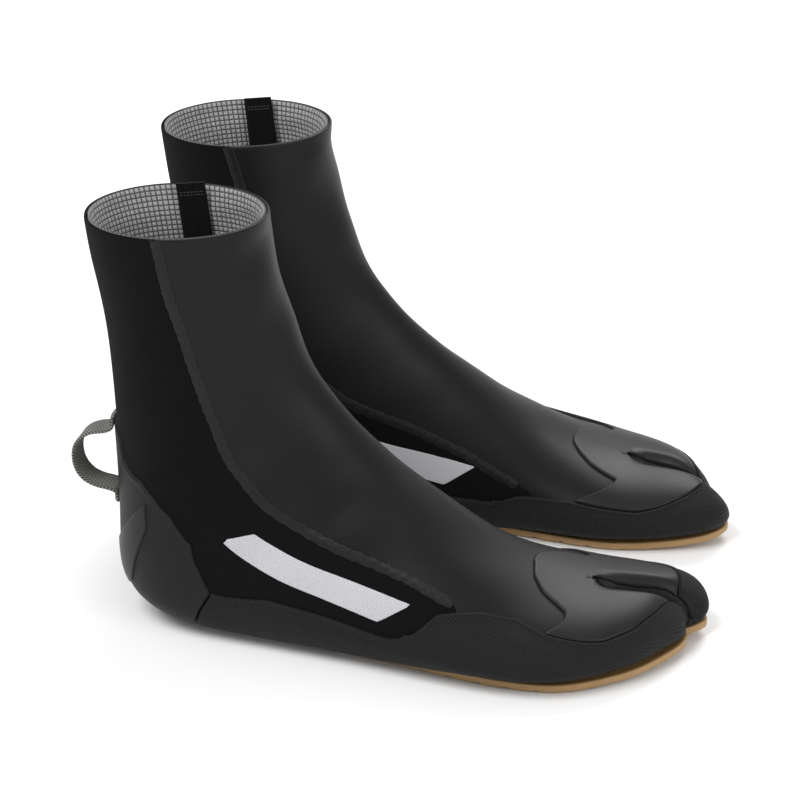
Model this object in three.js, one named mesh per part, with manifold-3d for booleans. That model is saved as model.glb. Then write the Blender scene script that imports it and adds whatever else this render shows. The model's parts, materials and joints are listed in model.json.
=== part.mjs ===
// A pair of split-toe neoprene surf boots, millimetres, +Z up, toes along +X.
//
// One smooth "last" surface gives the shape of a boot. It is a fan of section planes that turns
// from upright at the toes to level at the cuff. Every layer of the boot (lining, neoprene, rubber
// overlays) is the space between two offsets of that surface, and every panel is a piece of a
// layer, cut out along its seam lines. The left boot is the right boot mirrored.
import * as THREE from "three";
import { mergeVertices } from "three/addons/utils/BufferGeometryUtils.js";
import Module from "manifold-3d";

const wasm = await Module();
wasm.setup();

// ---------------------------------------------------------------- driving sizes, millimetres
const FOOT_LENGTH = 275; // last, from the back of the heel to the tip of the big toe
const FOOT_WIDTH = 102; // last, across the ball of the foot
const CUFF_HEIGHT = 207; // top of the cuff above the ground
const CUFF_DEPTH = 85; // last at the cuff, front to back
const CUFF_WIDTH = 76; // last at the cuff, side to side
const PAIR_SPACING = 116; // between the centre lines of the two boots, at the heel
const PAIR_SHIFT = -2; // how far forward the left boot stands
const PAIR_TURN = 6.7; // degrees between the two boots, seen from above

const NEOPRENE = 3; // front, rear and sole panels
const LINING = 1; // thermal lining
const FOOTBED = 3; // loose insole
const RAND = 1.5; // rubber band round the foot
const TOE_CAP = 1.4;
const COUNTER = 1.5; // heel counter
const HEEL_STRIP = 0.7;
const MIDSOLE = 1.5;
const TAPE = 0.5; // glued seam band
const TAPE_WIDTH = 5;
const FLASH = 0.5; // printed film bar
const FLASH_WIDTH = 14;
const GUSSET = 0.7; // liner of the toe slit
const OUTSOLE = 3.1; // under the midsole
const SOLE_LIP = 0.6; // outsole edge that shows beyond the rand
const SLIT_GAP = 5.2; // between the neoprene walls of the toe slit
const SLIT_ROUND = 8; // how softly the slit's shoulders roll over
const SLIT_WEB = 10.5; // left under the slit for the foot to pass

const LOOP_WIDTH = 15; // heel pull loop webbing
const LOOP_THICK = 1.6;
const LOOP_REACH = 19; // how far the loop stands off the heel
const LOOP_TOP = 97; // height of the upper sewn end
const LOOP_LOW = 62; // height of the lower sewn end
const TACK = 1.2; // sewn bar over a loop end
const TAB_WIDTH = 14; // inner pull tab webbing
const TAB_THICK = 1.5;
const TAB_DROP = 34; // how far the tab hangs down inside the cuff
const TAB_STITCH = 7; // stitch line below the rim
const GAP = 0.3; // clearance between touching pieces

// ---------------------------------------------------------------- stations of the last
// Each row: dorsal point x z, plantar point x z, middle y, lateral reach x y, medial reach x y,
// height share of the widest point, roundness above it and below it.
const STATIONS = [
  [277.0, 13.5, 275.5, 9.0, 13.5, -1.0, 3.0, 1.5, 2.8, 0.45, 2.0, 2.0],
  [271.0, 22.5, 274.0, 8.2, 12.0, 2.5, 12.0, 11.5, 12.0, 0.42, 2.1, 2.4],
  [263.5, 29.0, 266.0, 7.2, 10.0, 2.0, 26.0, 16.0, 24.5, 0.4, 2.2, 2.8],
  [255.5, 31.5, 256.0, 6.4, 7.5, 0.0, 38.5, 14.0, 34.5, 0.38, 2.2, 3.2],
  [245.0, 32.5, 243.0, 5.8, 5.2, -3.0, 48.5, 7.0, 41.5, 0.36, 2.2, 3.6],
  [232.0, 34.0, 228.0, 5.4, 3.5, -4.0, 55.0, -1.0, 45.0, 0.35, 2.15, 4.0],
  [210.5, 40.0, 204.0, 5.2, 2.0, -2.0, 57.5, -1.0, 44.0, 0.34, 2.1, 4.0],
  [186.0, 52.0, 173.0, 5.2, 1.0, 0.0, 54.5, 0.0, 38.0, 0.33, 2.05, 4.0],
  [163.5, 69.0, 135.0, 5.2, 1.0, 0.0, 48.5, 0.0, 33.5, 0.33, 2.0, 3.8],
  [142.0, 86.0, 91.0, 5.2, 1.0, 0.0, 42.5, 0.0, 31.5, 0.33, 2.0, 3.4],
  [122.5, 104.0, 43.0, 6.0, 1.0, 0.0, 37.5, 0.0, 32.5, 0.36, 2.0, 2.9],
  [106.0, 124.5, 11.5, 16.0, 0.5, 0.0, 35.5, 0.0, 33.5, 0.43, 2.0, 2.3],
  [94.5, 148.0, 7.0, 50.0, 0.0, 0.0, 35.2, 0.0, 34.8, 0.48, 2.0, 2.0],
  [88.0, 172.5, 7.0, 110.0, -0.5, 0.0, 36.5, 0.0, 36.0, 0.5, 2.0, 2.0],
  [84.0, 192.0, 3.5, 160.0, -2.0, 0.0, 37.6, 0.0, 37.3, 0.5, 2.0, 2.0],
  [83.0, 207.0, -2.0, 206.0, -3.0, 0.0, 38.2, 0.0, 37.8, 0.5, 2.0, 2.0],
];
const BASE = { length: 275, width: 102, height: 207, depth: 85, cuff: 76, under: 5.2 };
const ANKLE = 9; // the stations from here up belong to the shaft
const TOP = STATIONS.length - 1;
const SLIT_START = 4.85; // station where the toe slit begins

// The stations scaled to the driving sizes. The foot takes the length and width, and the shaft
// blends from the foot's size at the ankle to the cuff's own size at the top.
function scaledStations() {
  const kx = FOOT_LENGTH / BASE.length;
  const ky = FOOT_WIDTH / BASE.width;
  const kz = CUFF_HEIGHT / BASE.height;
  const kd = CUFF_DEPTH / BASE.depth;
  const kc = CUFF_WIDTH / BASE.cuff;
  const mid = (STATIONS[TOP][0] + STATIONS[TOP][2]) / 2;
  const lift = OUTSOLE + MIDSOLE + 2 * GAP - BASE.under; // what lies under the last
  return STATIONS.map((row, i) => {
    const up = Math.max(0, i - ANKLE) / (TOP - ANKLE);
    const rise = (z) => (z < 60 ? z : 60 + (z - 60) * ((CUFF_HEIGHT - 60) / (BASE.height - 60)));
    const along = (x) => (1 - up) * x * kx + up * (mid * kx + (x - mid) * kd);
    const across = (1 - up) * ky + up * kc;
    const [dx, dz, bx, bz, cy, lx, lw, mx, mw, tw, n1, n2] = row;
    const high = (z) => (kz === 1 ? z : rise(z)) + lift * Math.max(0, 1 - z / 60);
    return [along(dx), high(dz), along(bx), high(bz),
      cy * ky, lx * kx, lw * across, mx * kx, mw * across, tw, n1, n2];
  });
}

// Natural cubic spline through one value of every station.
function spline(y) {
  const n = y.length;
  const m = new Array(n).fill(0);
  const c = new Array(n).fill(0);
  const d = new Array(n).fill(0);
  for (let i = 1; i < n - 1; i++) {
    const w = 4 - c[i - 1];
    c[i] = 1 / w;
    d[i] = (6 * (y[i + 1] - 2 * y[i] + y[i - 1]) - d[i - 1]) / w;
  }
  for (let i = n - 2; i > 0; i--) m[i] = d[i] - c[i] * m[i + 1];
  return (x) => {
    const i = Math.min(n - 2, Math.max(0, Math.floor(x)));
    const t = x - i;
    const a = 1 - t;
    return a * y[i] + t * y[i + 1] + ((a ** 3 - a) * m[i] + (t ** 3 - t) * m[i + 1]) / 6;
  };
}
const TABLE = scaledStations();
const COLUMN = TABLE[0].map((_, k) => spline(TABLE.map((row) => row[k])));
const station = (s) => COLUMN.map((f) => f(s));

// Straight-line interpolation through [x, y] points, used for seam lines.
function line(points) {
  return (x) => {
    if (x <= points[0][0]) return points[0][1];
    for (let i = 1; i < points.length; i++) {
      const [x0, y0] = points[i - 1];
      const [x1, y1] = points[i];
      if (x <= x1) return y0 + ((y1 - y0) * (x - x0)) / (x1 - x0);
    }
    return points[points.length - 1][1];
  };
}
const RAD = Math.PI / 180;
const clamp = (x, a, b) => Math.min(b, Math.max(a, x));

// A point of the last without its toe slit. side is -1 lateral, 1 medial; angle runs from 0 on
// the dorsal line to PI on the plantar line.
function plainPoint(s, side, angle) {
  const [dx, dz, bx, bz, cy, lx, lw, mx, mw, tw, n1, n2] = station(s);
  const qx = bx + tw * (dx - bx);
  const qz = bz + tw * (dz - bz);
  const c = Math.cos(angle);
  const n = c >= 0 ? n1 : n2;
  const up = Math.sign(c) * Math.abs(c) ** (2 / n);
  const out = Math.abs(Math.sin(angle)) ** (2 / n);
  const share = c >= 0 ? 1 - tw : tw;
  return new THREE.Vector3(
    qx + up * (dx - bx) * share + out * (side < 0 ? lx : mx),
    cy + out * (side < 0 ? -lw : mw),
    qz + up * (dz - bz) * share,
  );
}

// Outward normal of the plain last, by small steps along and round it.
function plainNormal(s, side, angle) {
  const ds = s < 0.02 ? [s, s + 0.02] : s > TOP - 0.02 ? [s - 0.02, s] : [s - 0.01, s + 0.01];
  const a = clamp(angle, 0.02, Math.PI - 0.02);
  const e1 = plainPoint(ds[1], side, a).sub(plainPoint(ds[0], side, a));
  const e2 = plainPoint(s, side, a + 0.01).sub(plainPoint(s, side, a - 0.01));
  const n = e1.cross(e2).multiplyScalar(-side).normalize();
  if (angle < 0.02 || angle > Math.PI - 0.02) {
    n.y = 0;
    n.normalize();
  }
  return n;
}

// Reach of the half section at a station, and how far out the slit's shoulder ends.
function reach(s, side) {
  const r = station(s);
  return side < 0 ? Math.hypot(r[5], r[6]) : Math.hypot(r[7], r[8]);
}
const shoulder = (s, side) => Math.min(SLIT_GAP / 2 + SLIT_ROUND, 0.6 * reach(s, side));
function angleAt(s, side, distance) {
  return Math.asin(clamp(distance / reach(s, side), 0, 1) ** (station(s)[10] / 2));
}
// How deep the slit is at a station.
const slitShare = line([[0, 0.35], [0.8, 0.62], [1.6, 1], [3.4, 1], [4.2, 0.75], [SLIT_START, 0]]);
function slitDepth(s) {
  const r = station(s);
  const height = r[1] - r[3];
  return Math.max(0, slitShare(s) * (s < 1.6 ? height * 0.62 : height - SLIT_WEB));
}

// A point of the layer surface at an offset. u runs round the section: 0 is the floor of the
// slit, up to 1 its wall and shoulder, 1 to 2 the rest down to the plantar line; minus is lateral.
function point(s, u, offset) {
  const side = u < 0 ? -1 : 1;
  const v = Math.abs(u);
  const end = shoulder(s, side);
  const edge = angleAt(s, side, end);
  if (v > 1) {
    const angle = edge + (v - 1) * (Math.PI - edge);
    return plainPoint(s, side, angle).addScaledVector(plainNormal(s, side, angle), offset);
  }
  const half = clamp(SLIT_GAP / 2 - offset, 0.05, end - 0.1) * Math.min(1, end / 6);
  const turn = clamp((v - 0.2) / 0.8, 0, 1) * (Math.PI / 2);
  const away = v < 0.2 ? half * (v / 0.2) : half + (end - half) * (1 - Math.cos(turn));
  const angle = angleAt(s, side, away);
  const drop = slitDepth(s) * (1 - Math.sin(turn));
  const p = plainPoint(s, side, angle).addScaledVector(plainNormal(s, side, angle), offset);
  p.z -= drop;
  return p;
}
// The u of a plain angle in degrees.
function uOf(s, side, degrees) {
  const edge = angleAt(s, side, shoulder(s, side));
  const a = degrees * RAD;
  if (a >= edge) return side * (1 + (a - edge) / (Math.PI - edge));
  const d = Math.sin(a) ** (2 / station(s)[10]) * reach(s, side);
  const half = SLIT_GAP / 2;
  const end = shoulder(s, side);
  const turn = Math.acos(clamp(1 - (d - half) / (end - half), 0, 1));
  return side * clamp(0.2 + (0.8 * turn) / (Math.PI / 2), 0, 1);
}

// ---------------------------------------------------------------- solids
function solid(points, faces) {
  const flat = [];
  for (const f of faces) for (const i of f) flat.push(points[i].x, points[i].y, points[i].z);
  const g = new THREE.BufferGeometry();
  g.setAttribute("position", new THREE.Float32BufferAttribute(flat, 3));
  return solidOf(g);
}
function solidOf(geometry) {
  const g = geometry.index ? geometry.toNonIndexed() : geometry.clone();
  for (const k of Object.keys(g.attributes)) if (k !== "position") g.deleteAttribute(k);
  const m = mergeVertices(g, 1e-3);
  const keep = [];
  const ix = m.index.array;
  for (let i = 0; i < ix.length; i += 3)
    if (ix[i] !== ix[i + 1] && ix[i + 1] !== ix[i + 2] && ix[i] !== ix[i + 2])
      keep.push(ix[i], ix[i + 1], ix[i + 2]);
  const body = new wasm.Manifold(
    new wasm.Mesh({
      numProp: 3,
      vertProperties: m.attributes.position.array,
      triVerts: new Uint32Array(keep),
    }),
  );
  return body;
}
// The main piece of a cut layer, without the crumbs that a cut leaves at its corners.
function main(cut) {
  const parts = cut.decompose().sort((a, b) => b.volume() - a.volume());
  return parts[0].asOriginal().simplify(0.12);
}
function geometryOf(cut) {
  const m = main(cut).getMesh();
  const g = new THREE.BufferGeometry();
  g.setAttribute("position", new THREE.BufferAttribute(new Float32Array(m.vertProperties), 3));
  g.setIndex(new THREE.BufferAttribute(new Uint32Array(m.triVerts), 1));
  return g;
}

const ROWS = [0, 0.4, 0.85, 1.4, 2.1, 2.9, 3.8, 4.5, 5.1, 5.9, 6.9, 8, 9.2, 10.1, 10.8, 11.3, 12,
  13, 14, TOP];
const HALF = [0.2, 0.6, 1, 1.16, 1.34, 1.5, 1.63, 1.74, 1.86];
const RING = [0, ...HALF, 2, ...HALF.map((v) => -v).reverse()]; // medial side down, lateral up

// The whole last as one solid at an offset, from a first station to the cuff, or past the cuff.
function body(offset, first = 0, past = 0) {
  const rows = [first, ...ROWS.filter((s) => s > first + 0.15)];
  const points = [];
  for (const s of rows) for (const u of RING) points.push(point(s, u, offset));
  const n = RING.length;
  if (past) {
    const [dx, dz, bx, bz] = station(TOP);
    const up = new THREE.Vector3(-(dz - bz), 0, dx - bx).normalize().multiplyScalar(past);
    for (const p of points.slice(-n)) points.push(p.clone().add(up));
  }
  const last = points.length / n - 1;
  const faces = [];
  for (let i = 0; i < last; i++)
    for (let k = 0; k < n; k++) {
      const a = i * n + k;
      const b = i * n + ((k + 1) % n);
      faces.push([a, a + n, b + n], [a, b + n, b]);
    }
  // toe end: each half is one flat polygon from the slit floor round to the plantar line
  const ends = [[0, false], [last, true]];
  for (const [row, flip] of ends) {
    const halves = [
      Array.from({ length: HALF.length + 2 }, (_, k) => k),
      [0, ...Array.from({ length: HALF.length + 1 }, (_, k) => n - 1 - k)],
    ];
    halves.forEach((half, h) => {
      // a fan round a point that sees the whole half section: low and well inside the lobe
      const ring = half.map((k) => points[row * n + k]);
      const floor = ring[0].clone().lerp(ring[ring.length - 1], 0.5);
      points.push(floor.lerp(ring[HALF.indexOf(1.5) + 1], 0.5));
      const hub = points.length - 1;
      for (let k = 0; k < half.length; k++) {
        const i = row * n + half[k];
        const j = row * n + half[(k + 1) % half.length];
        faces.push((h === 0) !== flip ? [hub, i, j] : [hub, j, i]);
      }
    });
  }
  return fixed(points, faces);
}
// Builds a solid and turns it the right way out.
function fixed(points, faces) {
  let s = solid(points, faces);
  if (s.volume() < 0) s = solid(points, faces.map((f) => [f[0], f[2], f[1]]));
  return s;
}
// The slab over a patch of the surface, between two offsets. grid is rows of [station, u].
function slab(grid, low, high) {
  const points = [];
  for (const offset of [low, high])
    for (const row of grid) for (const [s, u] of row) points.push(point(s, u, offset));
  const na = grid.length - 1;
  const w = grid[0].length;
  const nb = w - 1;
  const top = (na + 1) * w;
  const faces = [];
  for (let i = 0; i < na; i++)
    for (let k = 0; k < nb; k++) {
      const a = i * w + k;
      faces.push([a, a + w, a + w + 1], [a, a + w + 1, a + 1]);
      faces.push([top + a, top + a + w + 1, top + a + w], [top + a, top + a + 1, top + a + w + 1]);
    }
  const wall = (a, b) => faces.push([a, b, top + b], [a, top + b, top + a]);
  for (let k = 0; k < nb; k++) {
    wall(k, k + 1);
    wall(na * w + k + 1, na * w + k);
  }
  for (let i = 0; i < na; i++) {
    wall((i + 1) * w, i * w);
    wall(i * w + nb, (i + 1) * w + nb);
  }
  return fixed(points, faces);
}
const steps = (a, b, n) => Array.from({ length: n + 1 }, (_, k) => a + ((b - a) * k) / n);
const SLIT_COLUMNS = [-1, ...HALF.filter((v) => v < 1).map((v) => -v).reverse(), 0,
  ...HALF.filter((v) => v < 1), 1];
// Columns from a lateral angle over the top of the foot to a medial angle.
function overTop(s, lateral, medial, n = 6) {
  const least = 1.03; // never inside the slit's shoulder
  return [...steps(Math.min(-least, uOf(s, -1, lateral)), -1, n), ...SLIT_COLUMNS.slice(1, -1),
    ...steps(1, Math.max(least, uOf(s, 1, medial)), n)];
}
// Columns from a lateral angle round the back or under the foot to a medial angle.
function underneath(s, lateral, medial, n = 6) {
  return [...steps(uOf(s, -1, lateral), -2, n), ...steps(2, uOf(s, 1, medial), n).slice(1)];
}
const rowsOf = (list, columns) => list.map((s) => columns(s).map((u) => [s, u]));
// A patch whose ends depend on the angle: from(angle) to to(angle), for a list of signed angles.
function betweenAngles(angles, from, to, n) {
  return angles.map((a) =>
    steps(from(Math.abs(a)), to(Math.abs(a)), n).map((s) => [s, uOf(s, a < 0 ? -1 : 1, Math.abs(a))]));
}
// Degrees round the section that one millimetre takes.
function degreesFor(s, side, angle, mm) {
  const a = plainPoint(s, side, (angle - 0.5) * RAD);
  const b = plainPoint(s, side, (angle + 0.5) * RAD);
  return mm / a.distanceTo(b);
}

// ---------------------------------------------------------------- layers, inside to outside
const LINING_OUT = -NEOPRENE - GAP;
const LINING_IN = LINING_OUT - LINING;
const BED_LOW = LINING_IN - GAP;
const BED_TOP = BED_LOW - FOOTBED;
const OVER = GAP; // inner face of every overlay
const PAST = 3; // how far a cutting body runs out of the cuff
const layer = (outer, inner) => outer.subtract(inner);
// The flat faces of two nested bodies can cross in the toe slit, so a body half way across each
// clearance keeps the layers on its two sides apart.
const betweenLinings = body(LINING_OUT + GAP / 2, 1.33, PAST);
const betweenSkins = body(OVER / 2);
const neoprene = layer(body(0), body(-NEOPRENE, 1.2, PAST))
  .subtract(betweenLinings).intersect(betweenSkins);
const liningLayer = layer(body(LINING_OUT, 1.35), body(LINING_IN, 1.7, PAST))
  .intersect(body(LINING_OUT + GAP / 3, 1.35, PAST));
const underOverlays = body(OVER).add(betweenSkins);
const overlay = (thick) => layer(body(OVER + thick), underOverlays);

// ---------------------------------------------------------------- seam lines: station, degrees
const SOLE_EDGE = 141; // where the sole panel starts
const RAND_EDGE = 146; // where the rand ends under the foot
const seam = {
  lateral: line([[6.2, SOLE_EDGE], [6.6, 120], [7, 75], [7.15, 58], [8, 58], [9, 61.5], [10, 63],
    [11, 65], [12, 71], [13, 80], [14, 85], [TOP, 88]]),
  medial: line([[5.6, SOLE_EDGE], [6.1, 120], [6.6, 85], [6.85, 74], [8, 65], [9, 62], [10, 63],
    [11, 66], [12, 71], [13, 80], [14.4, 90], [TOP, 94]]),
};
const randTop = {
  lateral: line([[1.15, 8], [2.05, 40], [2.95, 57], [3.8, 63], [4.8, 57], [5.55, 53], [6.1, 47],
    [6.75, 53], [7.4, 68], [7.6, 88], [7.9, 93], [8.7, 92], [9.45, 93], [10, 104], [11, 104]]),
  medial: line([[1.15, 8], [2.05, 28], [2.95, 44], [4.1, 64], [4.55, 69], [5.1, 68], [6, 68],
    [6.85, 78], [7, 81], [7.25, 90], [8, 92], [9.45, 93], [10, 104], [11, 104]]),
};
// Rear edge of the toe cap: degrees to station, lateral angles negative.
const capRear = line([[-60, 5.6], [-53, 5.55], [-45, 5.3], [-38, 5.2], [-32, 5.25], [-27, 5.5],
  [-21, 5.85], [-12, 6.1], [0, 6.22], [8, 6.2], [16, 6.05], [24, 5.8], [29, 5.5], [33, 5.15],
  [40, 5.25], [50, 5.5], [60, 5.8], [68, 6], [75, 6.1]]);
const counterTop = line([[94, 10.8], [96, 11.05], [101, 11.45], [114, 11.95], [123, 12.2],
  [144, 12.5], [148, 12.7], [180, 12.9]]);
const counterFront = line([[94, 10.8], [98, 10.35], [104, 10.05], [141, 9.95], [180, 9.95]]);
const podTop = line([[118, 11.93], [130, 11.93], [160, 11.78], [180, 11.7]]);
const podLow = line([[118, 11.62], [126, 11.47], [140, 11.17], [147, 11.05], [180, 11.05]]);

// ---------------------------------------------------------------- cutting regions
const GROW = 0.5; // degrees that make about one clearance
const GROW_S = 0.014; // the same along the foot, in stations
function rearRegion(grow, low, high) {
  const list = [6.2 - 0.03 * grow, 6.45, 6.75, 7, 7.15, 7.6, 8.3, 9, 9.7, 10.3, 10.9, 11.4, 12, 13, 14, TOP + 0.4];
  return slab(rowsOf(list, (s) =>
    underneath(s, seam.lateral(s) - grow, seam.medial(s) - grow, 7)), low, high);
}
function soleRegion(grow, edge, from, to, low, high) {
  const list = [from, ...[1, 1.2, 1.9, 2.6, 3.4, 4.2, 5, 5.9, 6.9, 7.9, 8.8, 9.6, 10.3].filter((s) =>
    s > from + 0.01 && s < to - 0.2), to];
  return slab(rowsOf(list, (s) => underneath(s, edge - grow, edge - grow, 6)), low, high);
}
function topRegion(grow, from, to, low, high) {
  const list = [from, ...[1.36, 1.5, 2.05, 2.5, 2.95, 3.8, 4.4, 4.8, 5.3, 5.55, 6.1, 6.5, 6.75, 7, 7.25, 7.4,
    7.6, 7.9, 8.7, 9.45, 10, 11].filter((s) => s > from + 0.01 && s < to + 0.01)];
  return slab(rowsOf(list, (s) => overTop(s, randTop.lateral(s) + grow, randTop.medial(s) + grow)),
    low, high);
}
const slitRegion = (edge, from, to, low, high) =>
  slab(rowsOf(steps(from, to, 10), () => [-edge, -0.5, -0.2, 0, 0.2, 0.5, edge]), low, high);
const rearAngles = (first) => [-first, -(first + 4), -(first + 10), -120, -130, -141, -146.5, -148,
  -164, 180, 164, 148, 146.5, 141, 130, 120, first + 10, first + 4, first];
const heelRegion = (grow, low, high) => slab(betweenAngles(rearAngles(94),
  (a) => counterFront(a) - grow, () => 13.4, 5), low, high);
const shaftRegion = (low, high) =>
  slab(rowsOf([10.95, 11.5, 12, 13, 14, TOP + 0.4], (s) => underneath(s, 60, 60, 8)), low, high);

const M = 2.5; // a cutting region reaches this far beyond the layer that it cuts
const neo = [-NEOPRENE - 1.4, M];
const over = [OVER - M, OVER + RAND + M];

function neoprenePanels() {
  const rear = rearRegion(0, ...neo);
  const sole = soleRegion(0, SOLE_EDGE, 1.5, 10.8, ...neo);
  const soleGrown = soleRegion(GROW, SOLE_EDGE, 1.5 - 2 * GROW_S, 10.8 + GROW_S, ...neo);
  return {
    front_panel: neoprene.subtract(rearRegion(2 * GROW, ...neo)).subtract(soleGrown),
    rear_panel: neoprene.intersect(rear).subtract(soleGrown),
    sole_panel: neoprene.intersect(sole),
  };
}
function overlays() {
  const slit = slitRegion(0.6, 0.02, SLIT_START + 0.1, OVER - M, OVER + RAND + 0.6);
  const rand = overlay(RAND)
    .subtract(topRegion(0, 1.15, 11, ...over))
    .subtract(heelRegion(0, ...over))
    .subtract(shaftRegion(...over))
    .subtract(soleRegion(0, RAND_EDGE, 0.8, 10.95, ...over))
    .subtract(slit);
  const behindCap = slab([-75, -60, -53, -45, -38, -32, -27, -21, -12, -6, 0, 8, 16, 24, 29, 33, 40,
    50, 60, 68, 80].map((a) => steps(capRear(a), 7.6, 5).map((s) =>
    [s, uOf(s, a < 0 ? -1 : 1, Math.max(0.5, Math.abs(a)))])), ...over);
  const cap = overlay(TOE_CAP)
    .intersect(topRegion(-GROW, 1.36, 7.4, ...over))
    .subtract(behindCap)
    .subtract(slit);
  const counter = overlay(COUNTER).intersect(slab(betweenAngles(rearAngles(94.5),
    (a) => counterFront(a) + GROW_S, (a) => counterTop(a), 6), ...over))
    .subtract(soleRegion(0, RAND_EDGE, 9.5, 10.95, ...over));
  const midsole = overlay(MIDSOLE).intersect(
    soleRegion(-GROW, RAND_EDGE, 1.2, 10.95 - 2 * GROW_S, ...over));
  const podLow0 = OVER + COUNTER + GAP;
  const pod = layer(body(podLow0 + HEEL_STRIP), body(podLow0)).intersect(slab(betweenAngles(
    [-119, -127, -135, -143, -153, -166, 180, 166, 153, 143, 135, 127, 119],
    podLow, podTop, 4), podLow0 - 0.8, podLow0 + HEEL_STRIP + 1));
  const gusset = layer(body(OVER + GUSSET), underOverlays).intersect(
    slitRegion(0.55, 0.5, SLIT_START - 0.15, OVER - M, OVER + GUSSET + 0.8));
  const tackLow = OVER + TOE_CAP + GAP;
  const tack = layer(body(tackLow + TACK), body(tackLow)).intersect(
    slab(rowsOf([5, 5.16], () => [-0.6, -0.3, 0, 0.3, 0.6]), tackLow - M, tackLow + TACK + M));
  return { rand, toe_cap: cap, heel_counter: counter, midsole, heel_strip: pod, toe_gusset: gusset,
    slit_tack: tack };
}
// Loose insole on the lining, from the heel to the back of the toe slit.
const footbed = () => body(BED_LOW, 1.9).intersect(slab(rowsOf(
  ROWS.filter((s) => s > SLIT_START && s < 10.9), (s) => underneath(s, 148, 148, 3)),
  BED_TOP, BED_LOW + M));
// Glued bands over the seams and printed bars on the sides.
function trims() {
  const thin = overlay(TAPE);
  const film = overlay(FLASH);
  const made = {};
  for (const [name, side, start] of [["lateral", -1, 7.32], ["medial", 1, 7.15]]) {
    const band = (s, half) => {
      const a = seam[name](s);
      const d = degreesFor(s, side, a, half);
      return steps(a - d, a + d, 2).map((v) => uOf(s, side, v));
    };
    made["seam_tape_" + name] = thin.intersect(slab(rowsOf(
      [start, 8, 9, 10, 10.6, 11.2, 12, 13, 14, TOP - 0.06],
      (s) => band(s, TAPE_WIDTH / 2)), OVER - M, OVER + TAPE + M));
    const centre = 79;
    const bar = steps(0, 1, 6).map((t) => {
      const mid = 7.95 + 2.4 * t;
      const d = degreesFor(mid, side, centre, FLASH_WIDTH / 2);
      return steps(-1, 1, 3).map((v) => {
        const s = mid + v * 0.16;
        return [s, uOf(s, side, centre + v * d)];
      });
    });
    made["flash_" + name] = film.intersect(slab(bar, OVER - M, OVER + FLASH + M));
  }
  return made;
}
// Outsole: the outline of the foot, flat from heel to ball and rising a little to the toes, cut
// to the shape of what it carries, notched at the toe slit and grooved underneath.
const spring = (x) => 3.6 * clamp((x - 0.78 * FOOT_LENGTH) / (0.23 * FOOT_LENGTH), 0, 1.1) ** 2;
function outsole() {
  const ring = [];
  const beyond = OVER + Math.max(RAND, COUNTER) + SOLE_LIP + 0.25;
  // how far round the section the outline lies: out at the toes, tucked in under the heel
  const tuck = line([[0, 118], [3, 122], [5, 128], [6.5, 134], [8, 140], [9.5, 142], [11, 142]]);
  const sides = [-1, 1].map((side) => {
    const rail = [0, 0.25, 0.6, 1, 1.5, 2.1, 2.8, 3.6, 4.4, 5.2, 6, 7, 8, 9, 9.7, 10.3, 10.7, 11]
      .map((s) => point(s, uOf(s, side, tuck(s)), beyond - 2.2 * clamp((s - 4) / 4, 0, 1)));
    for (const a of [150, 158, 166, 173]) rail.push(point(11, uOf(11, side, a), beyond));
    return rail;
  });
  const n = sides[0].length;
  const heel = point(11, 2, beyond);
  const top = OUTSOLE + SOLE_LIP;
  for (const rise of [0, top])
    for (const p of [...sides[0], heel, ...sides[1].slice().reverse()])
      ring.push(new THREE.Vector3(p.x, p.y, spring(p.x) + rise));
  const m = 2 * n + 1;
  const faces = [];
  for (let k = 0; k < n; k++) {
    const a = k;
    const b = k + 1;
    const c = m - 1 - k;
    const d = m - 2 - k;
    if (b !== d) faces.push([a, b, d], [m + a, m + d, m + b]);
    faces.push([a, d, c], [m + a, m + c, m + d]);
  }
  for (let k = 0; k < m; k++) {
    const j = (k + 1) % m;
    faces.push([k, m + j, j], [k, m + k, m + j]);
  }
  let sole = fixed(ring, faces).subtract(body(OVER + Math.max(RAND, MIDSOLE, COUNTER) + GAP));
  for (const x of [0.09, 0.14, 0.19, 0.24, 0.56, 0.61, 0.66, 0.71, 0.76].map((k) => k * FOOT_LENGTH)) {
    const g = new THREE.BoxGeometry(2.2, 2 * FOOT_WIDTH, 2.2).toNonIndexed();
    g.translate(x + 6, 0, 0);
    sole = sole.subtract(solidOf(g));
  }
  return sole;
}
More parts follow.
